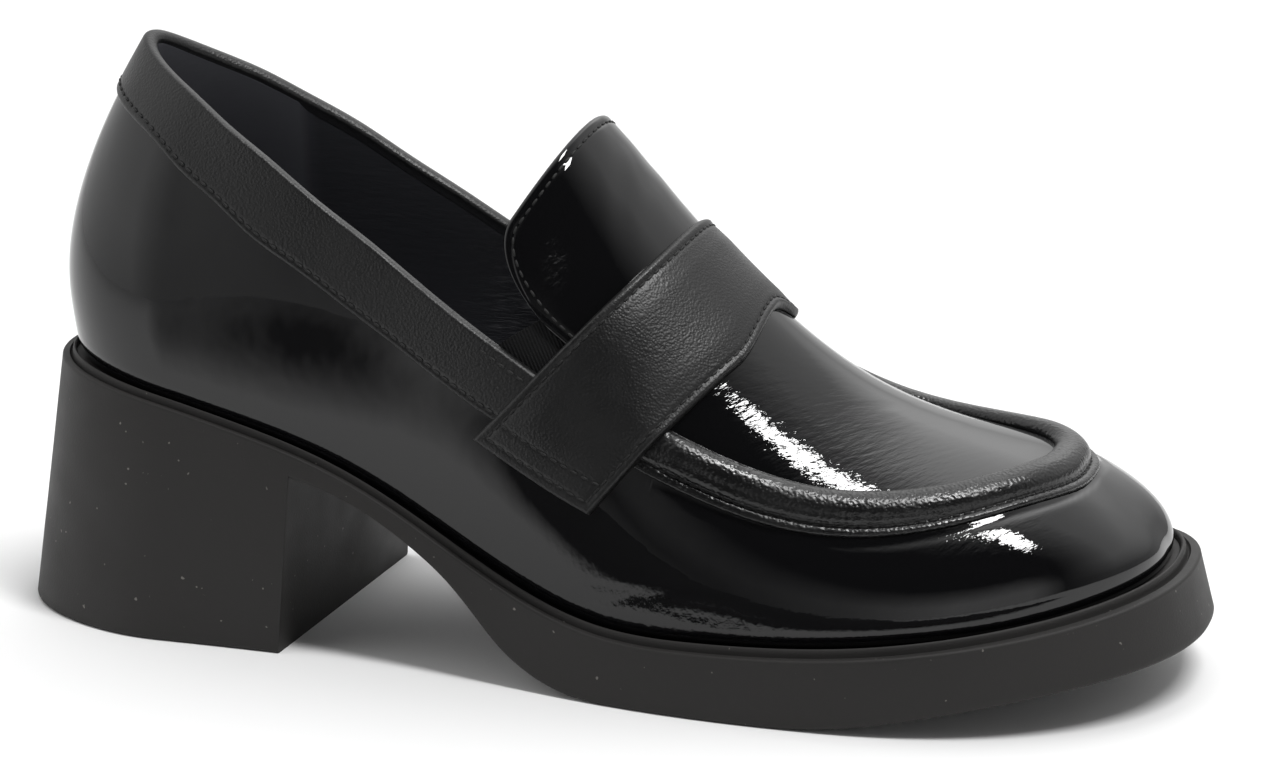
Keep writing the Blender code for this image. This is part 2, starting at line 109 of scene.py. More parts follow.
LAST = {name: natural_spline(np.array(LAST_ROWS)[:, (0, i)]) for i, name in enumerate(LAST_COLUMNS) if i}
ledge_height = natural_spline(LEDGE_ROWS)
back_lean = natural_spline(BACK_ROWS)


def end_round(share, power):
    """Rounded end: one while the share is zero, falling to zero upright as the share reaches one."""
    return (1 - np.clip(share, 0, 1) ** power) ** (1 / power)


def last_point(x, girth):
    """Each side is a cubic Bezier from the seat to the ridge; both ends are rounded off in plan, the toe
    falls away in height, and the back seam leans forward the higher it gets."""
    x, girth = np.broadcast_arrays(np.asarray(x, float), np.asarray(girth, float))
    lateral = girth < 0
    t = 1 - np.abs(girth)
    heel = end_round(1 - (x - HEEL_X) / HEEL_ROUND_LENGTH, HEEL_ROUND_POWER)
    wide = heel * end_round((x - TOE_ROUND_START) / (TOE_X - TOE_ROUND_START), TOE_ROUND_POWER)
    drop = end_round((x - TOE_DROP_START) / (TOE_X - TOE_DROP_START), TOE_DROP_POWER)
    seat = np.where(lateral, LAST["seat_lateral"](x), LAST["seat_medial"](x)) * wide
    belly = np.where(lateral, LAST["belly_lateral"](x), LAST["belly_medial"](x)) * wide
    shoulder = LAST["shoulder"](x) * wide
    foot = ledge_height(x) + SEAT_GAP
    height = (LAST["ridge"](x) - foot) * drop
    rise = LAST["belly_rise"](x) * drop
    b0, b1, b2, b3 = (1 - t) ** 3, 3 * t * (1 - t) ** 2, 3 * t ** 2 * (1 - t), t ** 3
    y = LAST["axis"](x) + np.where(lateral, -1, 1) * (b0 * seat + b1 * belly + b2 * shoulder)
    above = b1 * rise + (b2 + b3) * height
    fade = np.clip(1 - (x - HEEL_X) / BACK_REACH, 0, 1) ** 2
    return np.stack([x + back_lean(above) * fade, y, foot + above], -1)


def last_slopes(x, girth):
    """Change of the point per millimetre of station and per unit of girth, from small central steps."""
    step = 0.002
    x = np.clip(x, HEEL_X + step, TOE_X - step)
    turn = np.where(np.asarray(girth) < 0, np.minimum(girth, -step / 10), np.maximum(girth, step / 10))
    along = (last_point(x + step, turn) - last_point(x - step, turn)) / (2 * step)
    around = (last_point(x, turn + step / 20) - last_point(x, turn - step / 20)) / (step / 10)
    return along, around


def unit(vectors):
    """Vectors scaled to length one."""
    return vectors / np.linalg.norm(vectors, axis=-1, keepdims=True)


def last_normal(x, girth):
    """Outward normal of the last: square to both slopes."""
    along, around = last_slopes(x, girth)
    return unit(np.cross(along, around))


def raised(x, girth, lift):
    """Point of the last moved along its normal by the lift."""
    return last_point(x, girth) + last_normal(x, girth) * np.asarray(lift, float)[..., None]


def girth_scale(x, girth):
    """Millimetres of surface per unit of girth at a place: the length of the slope along the girth."""
    return np.linalg.norm(last_slopes(x, girth)[1], axis=-1)


print("last: ridge height at the strap", round(float(last_point(165.0, 0.0)[2]), 1), "mm")

# %% [markdown]
# ## From grids to meshes
# Every piece is a grid of points. Points that meet, as at the back seam or the tip of the toe, are joined,
# so the surface is closed there and shades smoothly. A sheet of leather then gets its thickness: a copy of
# the sheet is sunk along the normals and a rim joins the two along each open edge.

# %%


def grid_faces(rows, columns, first=0):
    """Quads of a grid whose points are numbered row by row."""
    index = np.arange(rows * columns).reshape(rows, columns) + first
    corners = (index[:-1, :-1], index[1:, :-1], index[1:, 1:], index[:-1, 1:])
    return np.stack(corners, -1).reshape(-1, 4)


def gather(*grids):
    """Several grids of equal depth as one list of rows and one list of quads."""
    rows = np.concatenate([grid.reshape(-1, grid.shape[-1]) for grid in grids])
    first = np.cumsum([0] + [grid.shape[0] * grid.shape[1] for grid in grids])
    faces = [grid_faces(grid.shape[0], grid.shape[1], start) for grid, start in zip(grids, first)]
    return rows, np.concatenate(faces)


def weld(points, faces):
    """Joins points that agree to a micron; quads that lose a corner become triangles, the rest drop out."""
    _, index, where = np.unique(np.round(points, 3), axis=0, return_index=True, return_inverse=True)
    corners = where.reshape(-1)[faces]
    same = corners == np.roll(corners, -1, 1)
    crossed = (corners[:, 0] == corners[:, 2]) | (corners[:, 1] == corners[:, 3])
    quads = corners[(same.sum(1) == 0) & ~crossed]
    flat = same.sum(1) == 1
    turn = (np.argmax(same[flat], 1)[:, None] + np.array([1, 2, 3])) % 4
    triangles = np.take_along_axis(corners[flat], turn, 1)
    return points[index], quads, triangles, index


def corner_normals(points, quads, triangles):
    """Area weighted normals: each face adds its area vector to its corners."""
    normals = np.zeros_like(points)
    halves = np.concatenate([quads[:, [0, 1, 2]], quads[:, [0, 2, 3]], triangles])
    area = np.cross(points[halves[:, 1]] - points[halves[:, 0]], points[halves[:, 2]] - points[halves[:, 0]])
    for k in range(3):
        np.add.at(normals, halves[:, k], area)
    return unit(normals)


def thicken(points, quads, triangles, wall):
    """Closed body from a welded sheet: the sheet, a copy sunk by the wall, quads along every open edge."""
    count = len(points)
    sunk = points - corner_normals(points, quads, triangles) * np.reshape(wall, (-1, 1))
    edges = np.concatenate([np.stack([f, np.roll(f, -1, 1)], -1).reshape(-1, 2) for f in (quads, triangles)])
    forward = edges[:, 0] * count + edges[:, 1]
    backward = edges[:, 1] * count + edges[:, 0]
    a, b = edges[~np.isin(forward, backward)].T
    rim = np.stack([b, a, a + count, b + count], 1)
    all_quads = np.concatenate([quads, quads[:, ::-1] + count, rim])
    all_triangles = np.concatenate([triangles, triangles[:, ::-1] + count])
    return np.concatenate([points, sunk]), all_quads, all_triangles


def add_mesh(name, points, quads, triangles, material, sharp=None):
    """Smooth shaded object in metres at the origin of the frame, riding on the shoe."""
    mesh = bpy.data.meshes.new(name)
    mesh.from_pydata(((points - MIDDLE) * MM).tolist(), [], quads.tolist() + triangles.tolist())
    mesh.shade_smooth()
    if sharp:
        mesh.set_sharp_from_angle(angle=np.radians(sharp))
    mesh.materials.append(material)
    piece = bpy.data.objects.new(name, mesh)
    bpy.context.scene.collection.objects.link(piece)
    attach(piece, "root")
    print(name, len(mesh.polygons), "faces")
    return piece


def add_values(piece, name, values):
    """Number per point that a material can read by name."""
    layer = piece.data.attributes.new(name, "FLOAT", "POINT")
    layer.data.foreach_set("value", np.ascontiguousarray(values, np.float32))


def add_sheet(name, grids, wall, material, values=None):
    """Leather piece from grids: welded, thickened, with an optional number per grid point."""
    points, faces = gather(*grids)
    points, quads, triangles, index = weld(points, faces)
    depth = np.concatenate([np.broadcast_to(w, g.shape[:2]).reshape(-1) for w, g in zip(wall, grids)])[index]
    points, quads, triangles = thicken(points, quads, triangles, depth)
    piece = add_mesh(name, points, quads, triangles, material)
    if values is not None:
        numbers = np.concatenate([v.reshape(-1) for v in values])[index]
        add_values(piece, "crinkle", np.concatenate([numbers, numbers]))
    return piece


def eased(start, end, count, ease_start, ease_end):
    """Values between two ends, packed towards the ends that are eased."""
    u = np.linspace(0, 1, count)
    if ease_start and ease_end:
        u = (1 - np.cos(np.pi * u)) / 2
    elif ease_start:
        u = 1 - np.cos(np.pi * u / 2)
    elif ease_end:
        u = np.sin(np.pi * u / 2)
    return start + (end - start) * u


def edge_round(distance, radius):
    """Quarter round: zero at an edge, one from the radius inwards."""
    return np.sqrt(1 - (1 - np.clip(distance / radius, 0, 1)) ** 2)


def smooth_step(value, start, end):
    """Soft change from zero at the start to one at the end."""
    u = np.clip((value - start) / (end - start), 0, 1)
    return u * u * (3 - 2 * u)


# %% [markdown]
# ## Materials
# Patent leather is black leather under a thick clear film: a dark base with a sharp coat over it, whose
# only texture is the slight waviness and the creases of the film. The strap, facing and roll are smooth
# black leather with fine pebbles. The sole is matte moulded rubber with a little dust on it. All patterns
# are read from object coordinates, so they stay on the shoe from every side.

# %%


def new_material(name, colour, roughness):
    """Principled material with its constant values set on the shader itself."""
    material = bpy.data.materials.new(name)
    material.use_nodes = True
    shader = material.node_tree.nodes["Principled BSDF"]
    shader.inputs["Base Color"].default_value = (*colour, 1.0)
    shader.inputs["Roughness"].default_value = roughness
    return material, material.node_tree, shader


def add_node(tree, kind, **inputs):
    """Node of a kind with its input sockets set; a value that is a socket is linked."""
    node = tree.nodes.new(kind)
    for key, value in inputs.items():
        socket = node.inputs[key.replace("_", " ")]
        if isinstance(value, bpy.types.NodeSocket):
            tree.links.new(value, socket)
        else:
            socket.default_value = value
    return node


def stretched(tree, scale, turn=0.0):
    """Object coordinates in metres, turned about the upright axis by an angle, then scaled for each axis."""
    place = tree.nodes.new("ShaderNodeTexCoord").outputs["Object"]
    turned = add_node(tree, "ShaderNodeMapping", Vector=place, Rotation=(0.0, 0.0, np.radians(-turn)))
    return add_node(tree, "ShaderNodeMapping", Vector=turned.outputs["Vector"], Scale=scale).outputs["Vector"]


def noise(tree, place, scale, detail=2.0, rough=0.5):
    """Cloudy value from zero to one with a number of features per unit."""
    node = add_node(tree, "ShaderNodeTexNoise", Vector=place, Scale=scale, Detail=detail, Roughness=rough)
    return node.outputs["Fac"]


def math(tree, operation, a, b=0.0):
    """One arithmetic step."""
    node = tree.nodes.new("ShaderNodeMath")
    node.operation = operation
    for socket, value in zip(node.inputs, (a, b)):
        if isinstance(value, bpy.types.NodeSocket):
            tree.links.new(value, socket)
        else:
            socket.default_value = value
    return node.outputs[0]


def ramp(tree, value, low, high, to_low, to_high):
    """Value between two limits carried to two new limits, clamped."""
    node = add_node(tree, "ShaderNodeMapRange", Value=value, From_Min=low, From_Max=high,
                    To_Min=to_low, To_Max=to_high)
    return node.outputs["Result"]


def blend(tree, factor, first, second):
    """Colour between two colours by a factor; a colour that is a socket is linked."""
    node = add_node(tree, "ShaderNodeMix", Factor=factor)
    node.data_type = "RGBA"
    for key, colour in (("A", first), ("B", second)):
        if isinstance(colour, bpy.types.NodeSocket):
            tree.links.new(colour, node.inputs[key])
        else:
            node.inputs[key].default_value = (*colour, 1.0)
    return node.outputs["Result"]


def bump(tree, height, depth, under=None):
    """Normal that follows a height; the depth is in metres."""
    node = add_node(tree, "ShaderNodeBump", Height=height, Strength=1.0, Distance=depth)
    if under is not None:
        tree.links.new(under, node.inputs["Normal"])
    return node.outputs["Normal"]


def patent_material(name):
    """Black film: faint waves everywhere, and fine creases across the foot where the piece's number asks for
    them. All gloss is in the film, so the leather under it has none of its own."""
    material, tree, shader = new_material(name, (0.003, 0.003, 0.0034), 0.4)
    shader.inputs["Specular IOR Level"].default_value = 0.0
    shader.inputs["Coat Weight"].default_value = 1.0
    shader.inputs["Coat Roughness"].default_value = 0.03
    shader.inputs["Coat IOR"].default_value = 1.5
    wave = noise(tree, stretched(tree, (1.0, 1.0, 1.0)), 100.0, 2.0, 0.4)
    normal = bump(tree, wave, 0.00007)
    mask = tree.nodes.new("ShaderNodeAttribute")
    mask.attribute_name = "crinkle"
    crease = noise(tree, stretched(tree, (0.32, 1.5, 1.0), 54.0), 620.0, 3.0, 0.55)
    crease = math(tree, "MULTIPLY", crease, mask.outputs["Fac"])
    normal = bump(tree, crease, 0.00016, normal)
    tree.links.new(normal, shader.inputs["Normal"])
    tree.links.new(normal, shader.inputs["Coat Normal"])
    return material


def grain_material(name, gloss, pebbles, depth):
    """Smooth leather: a number of pebbles per metre with their depth, faint folds, and an uneven finish."""
    material, tree, shader = new_material(name, (0.004, 0.004, 0.0042), gloss)
    shader.inputs["Specular IOR Level"].default_value = 0.5
    place = stretched(tree, (1.0, 1.0, 1.0))
    pebble = add_node(tree, "ShaderNodeTexVoronoi", Vector=place, Scale=pebbles)
    pebble.feature = "SMOOTH_F1"
    normal = bump(tree, pebble.outputs["Distance"], depth)
    folds = noise(tree, stretched(tree, (1.0, 0.5, 0.8)), 420.0, 3.0, 0.55)
    normal = bump(tree, folds, 0.000035, normal)
    tree.links.new(normal, shader.inputs["Normal"])
    cloudy = noise(tree, place, 70.0, 3.0)
    tree.links.new(ramp(tree, cloudy, 0.3, 0.7, gloss - 0.06, gloss + 0.08), shader.inputs["Roughness"])
    return material


def rubber_material(name):
    """Moulded rubber: dark warm grey, a fine matte skin, and pale dust in small scattered specks."""
    material, tree, shader = new_material(name, (0.02, 0.019, 0.018), 0.6)
    shader.inputs["Specular IOR Level"].default_value = 0.3
    place = stretched(tree, (1.0, 1.0, 1.0))
    cloudy = noise(tree, place, 45.0, 4.0, 0.6)
    dust = noise(tree, place, 620.0, 1.0)
    speck = ramp(tree, dust, 0.765, 0.80, 0.0, 0.5)
    shade = blend(tree, cloudy, (0.016, 0.0152, 0.0147), (0.025, 0.0236, 0.0228))
    tree.links.new(blend(tree, speck, shade, (0.30, 0.28, 0.26)), shader.inputs["Base Color"])
    skin = noise(tree, place, 2400.0, 2.0)
    tree.links.new(bump(tree, skin, 0.00005), shader.inputs["Normal"])
    tree.links.new(ramp(tree, cloudy, 0.3, 0.7, 0.52, 0.68), shader.inputs["Roughness"])
    return material


def lining_material(name):
    """Thin lining leather: blue black, satin, with fine wrinkles along the foot where the piece's number
    asks; their ridges get a painted highlight, a pale grey blended in where light would catch them.
    Where that number is lowest, at the heel, the napped side shows."""
    material, tree, shader = new_material(name, (0.046, 0.047, 0.054), 0.42)
    mask = tree.nodes.new("ShaderNodeAttribute")
    mask.attribute_name = "crinkle"
    paler = ramp(tree, mask.outputs["Fac"], 0.1, 0.3, 1.0, 0.0)
    shade = blend(tree, paler, (0.046, 0.047, 0.054), (0.11, 0.112, 0.125))
    wrinkle = noise(tree, stretched(tree, (0.35, 1.0, 1.9)), 380.0, 4.0, 0.6)
    # Painted highlight: where the wrinkle noise is high and the number is large, the colour turns pale grey
    # in place of light glinting on the ridges.
    painted_ridge_highlight = math(tree, "MULTIPLY", ramp(tree, wrinkle, 0.52, 0.72, 0.0, 0.8),
                ramp(tree, mask.outputs["Fac"], 0.6, 1.5, 0.0, 1.0))
    tree.links.new(blend(tree, painted_ridge_highlight, shade, (0.30, 0.30, 0.32)), shader.inputs["Base Color"])
    wrinkle = math(tree, "MULTIPLY", wrinkle, mask.outputs["Fac"])
    normal = bump(tree, wrinkle, 0.0013)
    tree.links.new(normal, shader.inputs["Normal"])
    cloudy = noise(tree, stretched(tree, (1.0, 1.0, 1.0)), 90.0, 3.0)
    tree.links.new(ramp(tree, cloudy, 0.3, 0.7, 0.30, 0.44), shader.inputs["Roughness"])
    return material


def woven_material(name, colour, sheen):
    """Thread and elastic: a fine fibre bump and the little sheen given."""
    material, tree, shader = new_material(name, colour, 0.6)
    shader.inputs["Specular IOR Level"].default_value = sheen
    fibre = noise(tree, stretched(tree, (1.0, 1.0, 1.0)), 2600.0, 2.0)
    tree.links.new(bump(tree, fibre, 0.0001), shader.inputs["Normal"])
    return material


PATENT = patent_material("patent_film")
STRAP_LEATHER = grain_material("strap_grain", 0.4, 2100.0, 0.00008)
BAND_LEATHER = grain_material("facing_grain", 0.42, 2100.0, 0.00009)
ROLL_LEATHER = grain_material("roll_grain", 0.27, 1500.0, 0.00012)
RUBBER = rubber_material("moulded_rubber")
LINING = lining_material("lining_leather")
ELASTIC = woven_material("elastic_weave", (0.005, 0.005, 0.0055), 0.2)
THREAD = woven_material("black_thread", (0.008, 0.008, 0.008), 0.4)
print("materials:", len(bpy.data.materials))

# %% [markdown]
# ## The moulded sole
# The sole is one rubber moulding: a platform under the forefoot, a thin waist over the arch and a block
# heel that flares towards the floor. Round its top runs a bead that hides the foot of the upper, then a
# groove, then a flat ledge with a soft edge. Its outline is the seat of the last moved outwards, so the
# rings of the moulding are all offsets of one loop, each at its own height.

# %%
BREAST_LOW, BREAST_HIGH = 75.2, 77.4
TREAD_START, TREAD_END = 150.0, 180.0
ARCH_ROWS = ((76.5, 38.0), (87, 35.2), (98, 30.5), (107, 25.3), (114, 20.3), (120, 14.6),
             (126, 8.6), (133, 3.9), (142, 0.8), (150, 0.0))
SPRING_ROWS = ((180, 0.0), (190, 0.3), (200, 1.5), (212, 3.9), (226, 6.9), (240, 9.6), (254, 11.8),
               (266, 13.4))
LEDGE_WIDTH_ROWS = ((15, 4.2), (30, 3.4), (60, 3.1), (130, 3.4), (170, 4.2), (220, 5.2), (255, 5.6))
HEEL_FLARE_ROWS = ((15, 8.9), (24, 5.6), (40, 4.0), (60, 3.3), (76, 3.0))
FRONT_FLARE_ROWS = ((77, 0.3), (130, 0.8), (200, 0.8), (240, 2.0), (255, 3.2))
arch_height = natural_spline(ARCH_ROWS)
spring_height = natural_spline(SPRING_ROWS)
ledge_width = natural_spline(LEDGE_WIDTH_ROWS)
heel_flare = natural_spline(HEEL_FLARE_ROWS)
front_flare = natural_spline(FRONT_FLARE_ROWS)
EDGE_RADIUS = 0.8


def seat_loop(x, out):
    """Closed plan outline of the seat moved outwards: lateral heel to toe, then medial back to the heel."""
    lateral = last_point(x, np.full_like(x, -1.0))[:, :2]
    medial = last_point(x, np.full_like(x, 1.0))[:, :2]
    loop = np.concatenate([lateral, medial[-2:0:-1]])
    tangent = unit(np.roll(loop, -1, 0) - np.roll(loop, 1, 0))
    outwards = np.stack([tangent[:, 1], -tangent[:, 0]], 1)
    return loop + outwards * np.broadcast_to(out, len(loop))[:, None]


def looped(values):
    """Station values repeated for the way back along the medial side."""
    return np.concatenate([values, values[-2:0:-1]])


def underside(x):
    """Heel and tread on the floor, arch and toe raised along their own curves."""
    raised_part = np.where(x < TREAD_START, arch_height(x), np.where(x > TREAD_END, spring_height(x), 0))
    return np.where(x <= BREAST_LOW, 0, np.maximum(raised_part, 0))


def rim_profile():
    """Section of the rim as share of the ledge width and rise: half round bead, hollow groove, ledge and
    soft edge."""
    turn = np.linspace(np.pi, 0, 11)
    bead = np.stack([0.33 + 0.12 * np.cos(turn), 1.5 * np.sin(turn)], 1)
    across = np.linspace(0, 1, 9)[1:]
    groove = np.stack([0.45 + 0.17 * across, -0.8 * np.sin(np.pi * across)], 1)
    bend = np.linspace(0, np.pi / 2, 7)
    edge = np.stack([0.86 + 0.14 * np.sin(bend), EDGE_RADIUS * (np.cos(bend) - 1)], 1)
    return np.concatenate([[[0.0, 0.0]], bead, groove, edge])


def build_sole():
    """Rings stacked from the bead over the ledge and down the flared wall, closed at both ends by strips."""
    heel = eased(HEEL_X, BREAST_LOW, 60, True, False)
    arch = np.linspace(BREAST_HIGH, TREAD_START, 60)
    tread = np.linspace(TREAD_START, TREAD_END, 16)[1:]
    toe = eased(TREAD_END, TOE_X, 80, False, True)[1:]
    x = np.concatenate([heel, arch, tread, toe])
    ledge, width, low = looped(ledge_height(x)), looped(ledge_width(x)), looped(underside(x))
    reach = width + looped(np.where(x <= BREAST_LOW, heel_flare(x), front_flare(x)))
    rings = [(width * out, ledge + up) for out, up in rim_profile()]
    for share in np.linspace(0, 1, 14)[1:]:
        rings.append((width + (reach - width) * share,
                      (ledge - EDGE_RADIUS) * (1 - share) + (low + EDGE_RADIUS) * share))
    for bend in np.linspace(0, np.pi / 2, 6)[1:]:
        rings.append((reach - EDGE_RADIUS * (1 - np.cos(bend)), low + EDGE_RADIUS * (1 - np.sin(bend))))
    shells = np.stack([np.column_stack([seat_loop(x, out), height]) for out, height in rings])
    closed = np.concatenate([shells, shells[:, :1]], 1)
    back = (-np.arange(len(x))) % shells.shape[1]
    strips = [np.stack([shells[k, :len(x)], shells[k, back]], 1) for k in (0, -1)]
    points, faces = gather(closed, strips[0], strips[1][:, ::-1])
    points, quads, triangles, _ = weld(points, faces)
    piece = add_mesh("sole_moulding", points, quads, triangles, RUBBER, sharp=40)
    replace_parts(piece, "sole_unit")


build_sole()

# %% [markdown]
# ## The upper and its lining
# The patent upper is one skin drawn over the last: vamp, apron and quarters. Its edge follows the topline
# and then closes over the instep, out of sight under the strap. Walking bends leave soft troughs across the
# apron and along the side of the vamp; each is a short row in a table, placed in the shoe's own sizes. The
# film also puckers where it is stretched hard, so a number per point tells the material how much.

# %%
THROAT_START, THROAT_END = 134.0, 158.0
SKIN, LINING_THICK = 1.0, 0.75
SKIN_COUNTS, LINING_COUNTS = (84, 22, 110, 78), (60, 14, 50, 44)
TUCK_HEIGHT, TUCK_DEPTH = 4.6, 1.2
TOE_TUCK, TOE_TUCK_START, TOE_TUCK_END = 0.25, 200.0, 236.0
GRIP_EDGE, GRIP_THICK = (57.5, 58.3), 0.45
WRINKLE_START, WRINKLE_END = 86.0, 120.0
COLLAR_ROWS = ((15, 0.33), (34, 0.402), (44, 0.447), (57, 0.511), (70, 0.557), (82, 0.589), (95, 0.609),
               (108, 0.63), (122, 0.642), (134, 0.64))
collar_girth = natural_spline(COLLAR_ROWS)
ROLL_BASE, ROLL_LENGTH, ROLL_POWER = 150.0, 82.8, 2.83
ROLL_LATERAL, ROLL_MEDIAL = 0.607, 0.468
ROLL_HALF_WIDTH, ROLL_HEIGHT = 3.8, 3.1
FLANGE_WIDTH, FLANGE_LIFT = 2.2, 0.9
GROOVE_OUT, GROOVE_WIDTH, GROOVE_DEPTH = 0.5, 0.5, 0.3
GROOVE_START, GROOVE_END = (156.0, 162.0), (245.0, 241.0)
CREASE_COLUMNS = ("x", "girth", "angle", "length", "width", "depth")
CREASE_ROWS = (
    (194, -0.14, 52, 9, 0.9, 0.045),
    (199, -0.02, 60, 11, 1.0, 0.05),
    (206, -0.10, 48, 8, 0.8, 0.04),
    (190, 0.16, 110, 10, 1.0, 0.05),
    (211, -0.02, 66, 8, 0.9, 0.04),
    (202, -0.20, 40, 7, 0.8, 0.035),
    (160, -0.90, 8, 12, 1.3, 0.22),
    (170, -0.93, -4, 14, 1.1, 0.20),
    (152, -0.93, 16, 9, 1.2, 0.18),
    (181, -0.90, -8, 10, 1.2, 0.14),
    (163, 0.90, -8, 12, 1.3, 0.22),
    (174, 0.93, 4, 12, 1.1, 0.18),
)
PUCKER_COLUMNS = ("x", "side", "length", "breadth", "amount")
PUCKER_ROWS = ((190, 0.40, 24, 0.20, 1.1), (166, 0.93, 26, 0.05, 0.9), (224, 0.62, 13, 0.12, 0.9))
PUCKER_LEAST, PUCKER_FOOT, PUCKER_FOOT_HEIGHT = 0.012, 0.25, 5.0


def roll_reach(girth):
    """Girth where the arm of the roll on the same side starts under the strap; the inner arm lies higher."""
    return np.where(girth < 0, ROLL_LATERAL, ROLL_MEDIAL)


def roll_distance(x, girth):
    """Signed distance in millimetres from the roll's middle line, right close to it and positive outside:
    how far the arch's equation is off, divided by how fast it changes along the surface."""
    along, around = last_slopes(x, girth)
    share_x = np.clip((x - ROLL_BASE) / ROLL_LENGTH, 1e-3, None)
    share_g = np.clip(np.abs(girth) / roll_reach(girth), 1e-3, None)
    level = share_x ** ROLL_POWER + share_g ** ROLL_POWER - 1
    steep_x = ROLL_POWER * share_x ** (ROLL_POWER - 1) / (ROLL_LENGTH * np.linalg.norm(along, axis=-1))
    steep_g = ROLL_POWER * share_g ** (ROLL_POWER - 1) / (roll_reach(girth) * np.linalg.norm(around, axis=-1))
    return level / np.hypot(steep_x, steep_g)


def seat_height(x, girth):
    """Height of a place on the last above the seat under it."""
    return last_point(x, girth)[..., 2] - ledge_height(x) - SEAT_GAP


def seat_tuck(x, girth):
    """How far the leather turns in above its seat: a parabola from the tuck height down to the full depth,
    which is less round the toe."""
    depth = TUCK_DEPTH * (1 - (1 - TOE_TUCK) * smooth_step(x, TOE_TUCK_START, TOE_TUCK_END))
    return depth * np.clip(1 - seat_height(x, girth) / TUCK_HEIGHT, 0, 1) ** 2


def skin_relief(x, girth):
    """Lift of the skin: turned in above the seat, a trough with soft shoulders for each crease, and the seam
    groove outside the roll."""
    lift = -seat_tuck(x, girth)
    for row in CREASE_ROWS:
        crease = dict(zip(CREASE_COLUMNS, row))
        turn = np.radians(crease["angle"])
        east = x - crease["x"]
        north = (girth - crease["girth"]) * girth_scale(crease["x"], crease["girth"])
        along = (east * np.cos(turn) + north * np.sin(turn)) / crease["length"]
        across = (north * np.cos(turn) - east * np.sin(turn)) / crease["width"]
        lift -= crease["depth"] * (1 - across ** 2) * np.exp(-across ** 2 - along ** 2)
    seam = roll_distance(x, girth) - ROLL_HALF_WIDTH - FLANGE_WIDTH - GROOVE_OUT
    beside_roll = smooth_step(x, *GROOVE_START) * smooth_step(x, *GROOVE_END)
    return lift - GROOVE_DEPTH * np.exp(-(seam / GROOVE_WIDTH) ** 2) * beside_roll


def skin_crinkle(x, girth):
    """How much the film puckers: a soft spot for each row, on the sides of the apron, along the foot of the
    vamp and at the corners of the toe, and a little along the seat."""
    foot = np.exp(-(seat_height(x, girth) / PUCKER_FOOT_HEIGHT) ** 2) * smooth_step(TOE_X - x, 6, 30)
    amount = PUCKER_LEAST + PUCKER_FOOT * foot
    for row in PUCKER_ROWS:
        spot = dict(zip(PUCKER_COLUMNS, row))
        along = (x - spot["x"]) / spot["length"]
        across = (np.abs(girth) - spot["side"]) / spot["breadth"]
        amount = amount + spot["amount"] * np.exp(-along ** 2 - across ** 2)
    return amount


def opening_girth(x):
    """Girth of the upper's free edge: the topline, then the throat closing on the ridge."""
    share = (x - THROAT_START) / (THROAT_END - THROAT_START)
    return collar_girth(x) * end_round(share, 2.0)


def shell_grids(counts, lift):
    """Both sides of the shell between seat and free edge, as grids of station, girth and point. The counts
    are the rows behind, at and before the throat, and the points up each side."""
    back = eased(HEEL_X, THROAT_START, counts[0], True, False)
    throat = eased(THROAT_START, THROAT_END, counts[1], False, True)[1:]
    front = eased(THROAT_END, TOE_X, counts[2], False, True)[1:]
    x = np.concatenate([back, throat, front])[:, None]
    girth = 1 - np.linspace(0, 1, counts[3]) * (1 - opening_girth(x))
    x = np.broadcast_to(x, girth.shape)
    sides = []
    for sign, order in ((-1, 1), (1, -1)):
        turned = np.minimum(-girth, -1e-9) if sign < 0 else girth
        grid = raised(x, turned, lift(x, turned))
        grid[0, :, 1] = 0
        sides.append((x[:, ::order], turned[:, ::order], grid[:, ::order]))
    ridge = sides[0][0][:, 0] >= THROAT_END - 1e-6
    middle = (sides[0][2][ridge, -1] + sides[1][2][ridge, 0]) / 2
    sides[0][2][ridge, -1] = middle
    sides[1][2][ridge, 0] = middle
    tip = sides[0][2][-1].mean(0)
    for side in sides:
        side[2][-1] = tip
    return sides


def build_upper():
    """Patent skin over the last, and a separate lining leather under it that has a grip patch at the heel."""
    sides = shell_grids(SKIN_COUNTS, skin_relief)
    crinkle = [skin_crinkle(x, girth) for x, girth, _ in sides]
    skins = [grid for _, _, grid in sides]
    piece = add_sheet("patent_shell", skins, [SKIN, SKIN], PATENT, crinkle)
    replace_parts(piece, "upper")
    inside = shell_grids(LINING_COUNTS, lambda x, girth: -SKIN - 0.05 - seat_tuck(x, girth))
    past_grip = [smooth_step(x, *GRIP_EDGE) for x, _, _ in inside]
    walls = [LINING_THICK + GRIP_THICK * (1 - past) for past in past_grip]
    # The lining's number sets its wrinkles, the pale napped heel, and the painted highlight on the wrinkle
    # ridges.
    wrinkle = [0.1 + 0.2 * past + 1.2 * smooth_step(x, WRINKLE_START, WRINKLE_END)
               for past, (x, _, _) in zip(past_grip, inside)]
    linings = [grid for _, _, grid in inside]
    add_sheet("quarter_lining", linings, walls, LINING, wrinkle)


build_upper()

# %% [markdown]
# ## The sock
# Inside lies the sock, a thin leather over the foot bed. It follows the seat of the last, a little inside
# the lining.

# %%
SOCK_THICK, SOCK_INSET = 2.2, 2.6


def build_sock():
    """Sheet across the seat outline moved inwards, dished a little in the middle."""
    x = eased(HEEL_X, TOE_X, 90, True, True)
    loop = seat_loop(x, -SOCK_INSET)
    lateral, medial = loop[:len(x)], loop[(-np.arange(len(x))) % len(loop)]
    across = np.linspace(0, 1, 21)[None, :, None]
    plan = lateral[:, None] * (1 - across) + medial[:, None] * across
    dish = 0.5 * np.sin(np.pi * across[..., 0])
    height = ledge_height(x)[:, None] + SEAT_GAP + SOCK_THICK - dish
    grid = np.concatenate([plan, height[..., None]], -1)
    smooth = np.full(height.shape, 0.1)
    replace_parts(add_sheet("sock", [grid], [SOCK_THICK - 0.6], LINING, [smooth]), "insole")


build_sock()

# %% [markdown]
# ## The tongue
# Above the strap the apron carries on as a short tongue. Its free edge is a shallow arch with rounded
# corners, the edge is turned, and a row of stitches follows it. Under it lies its own lining.

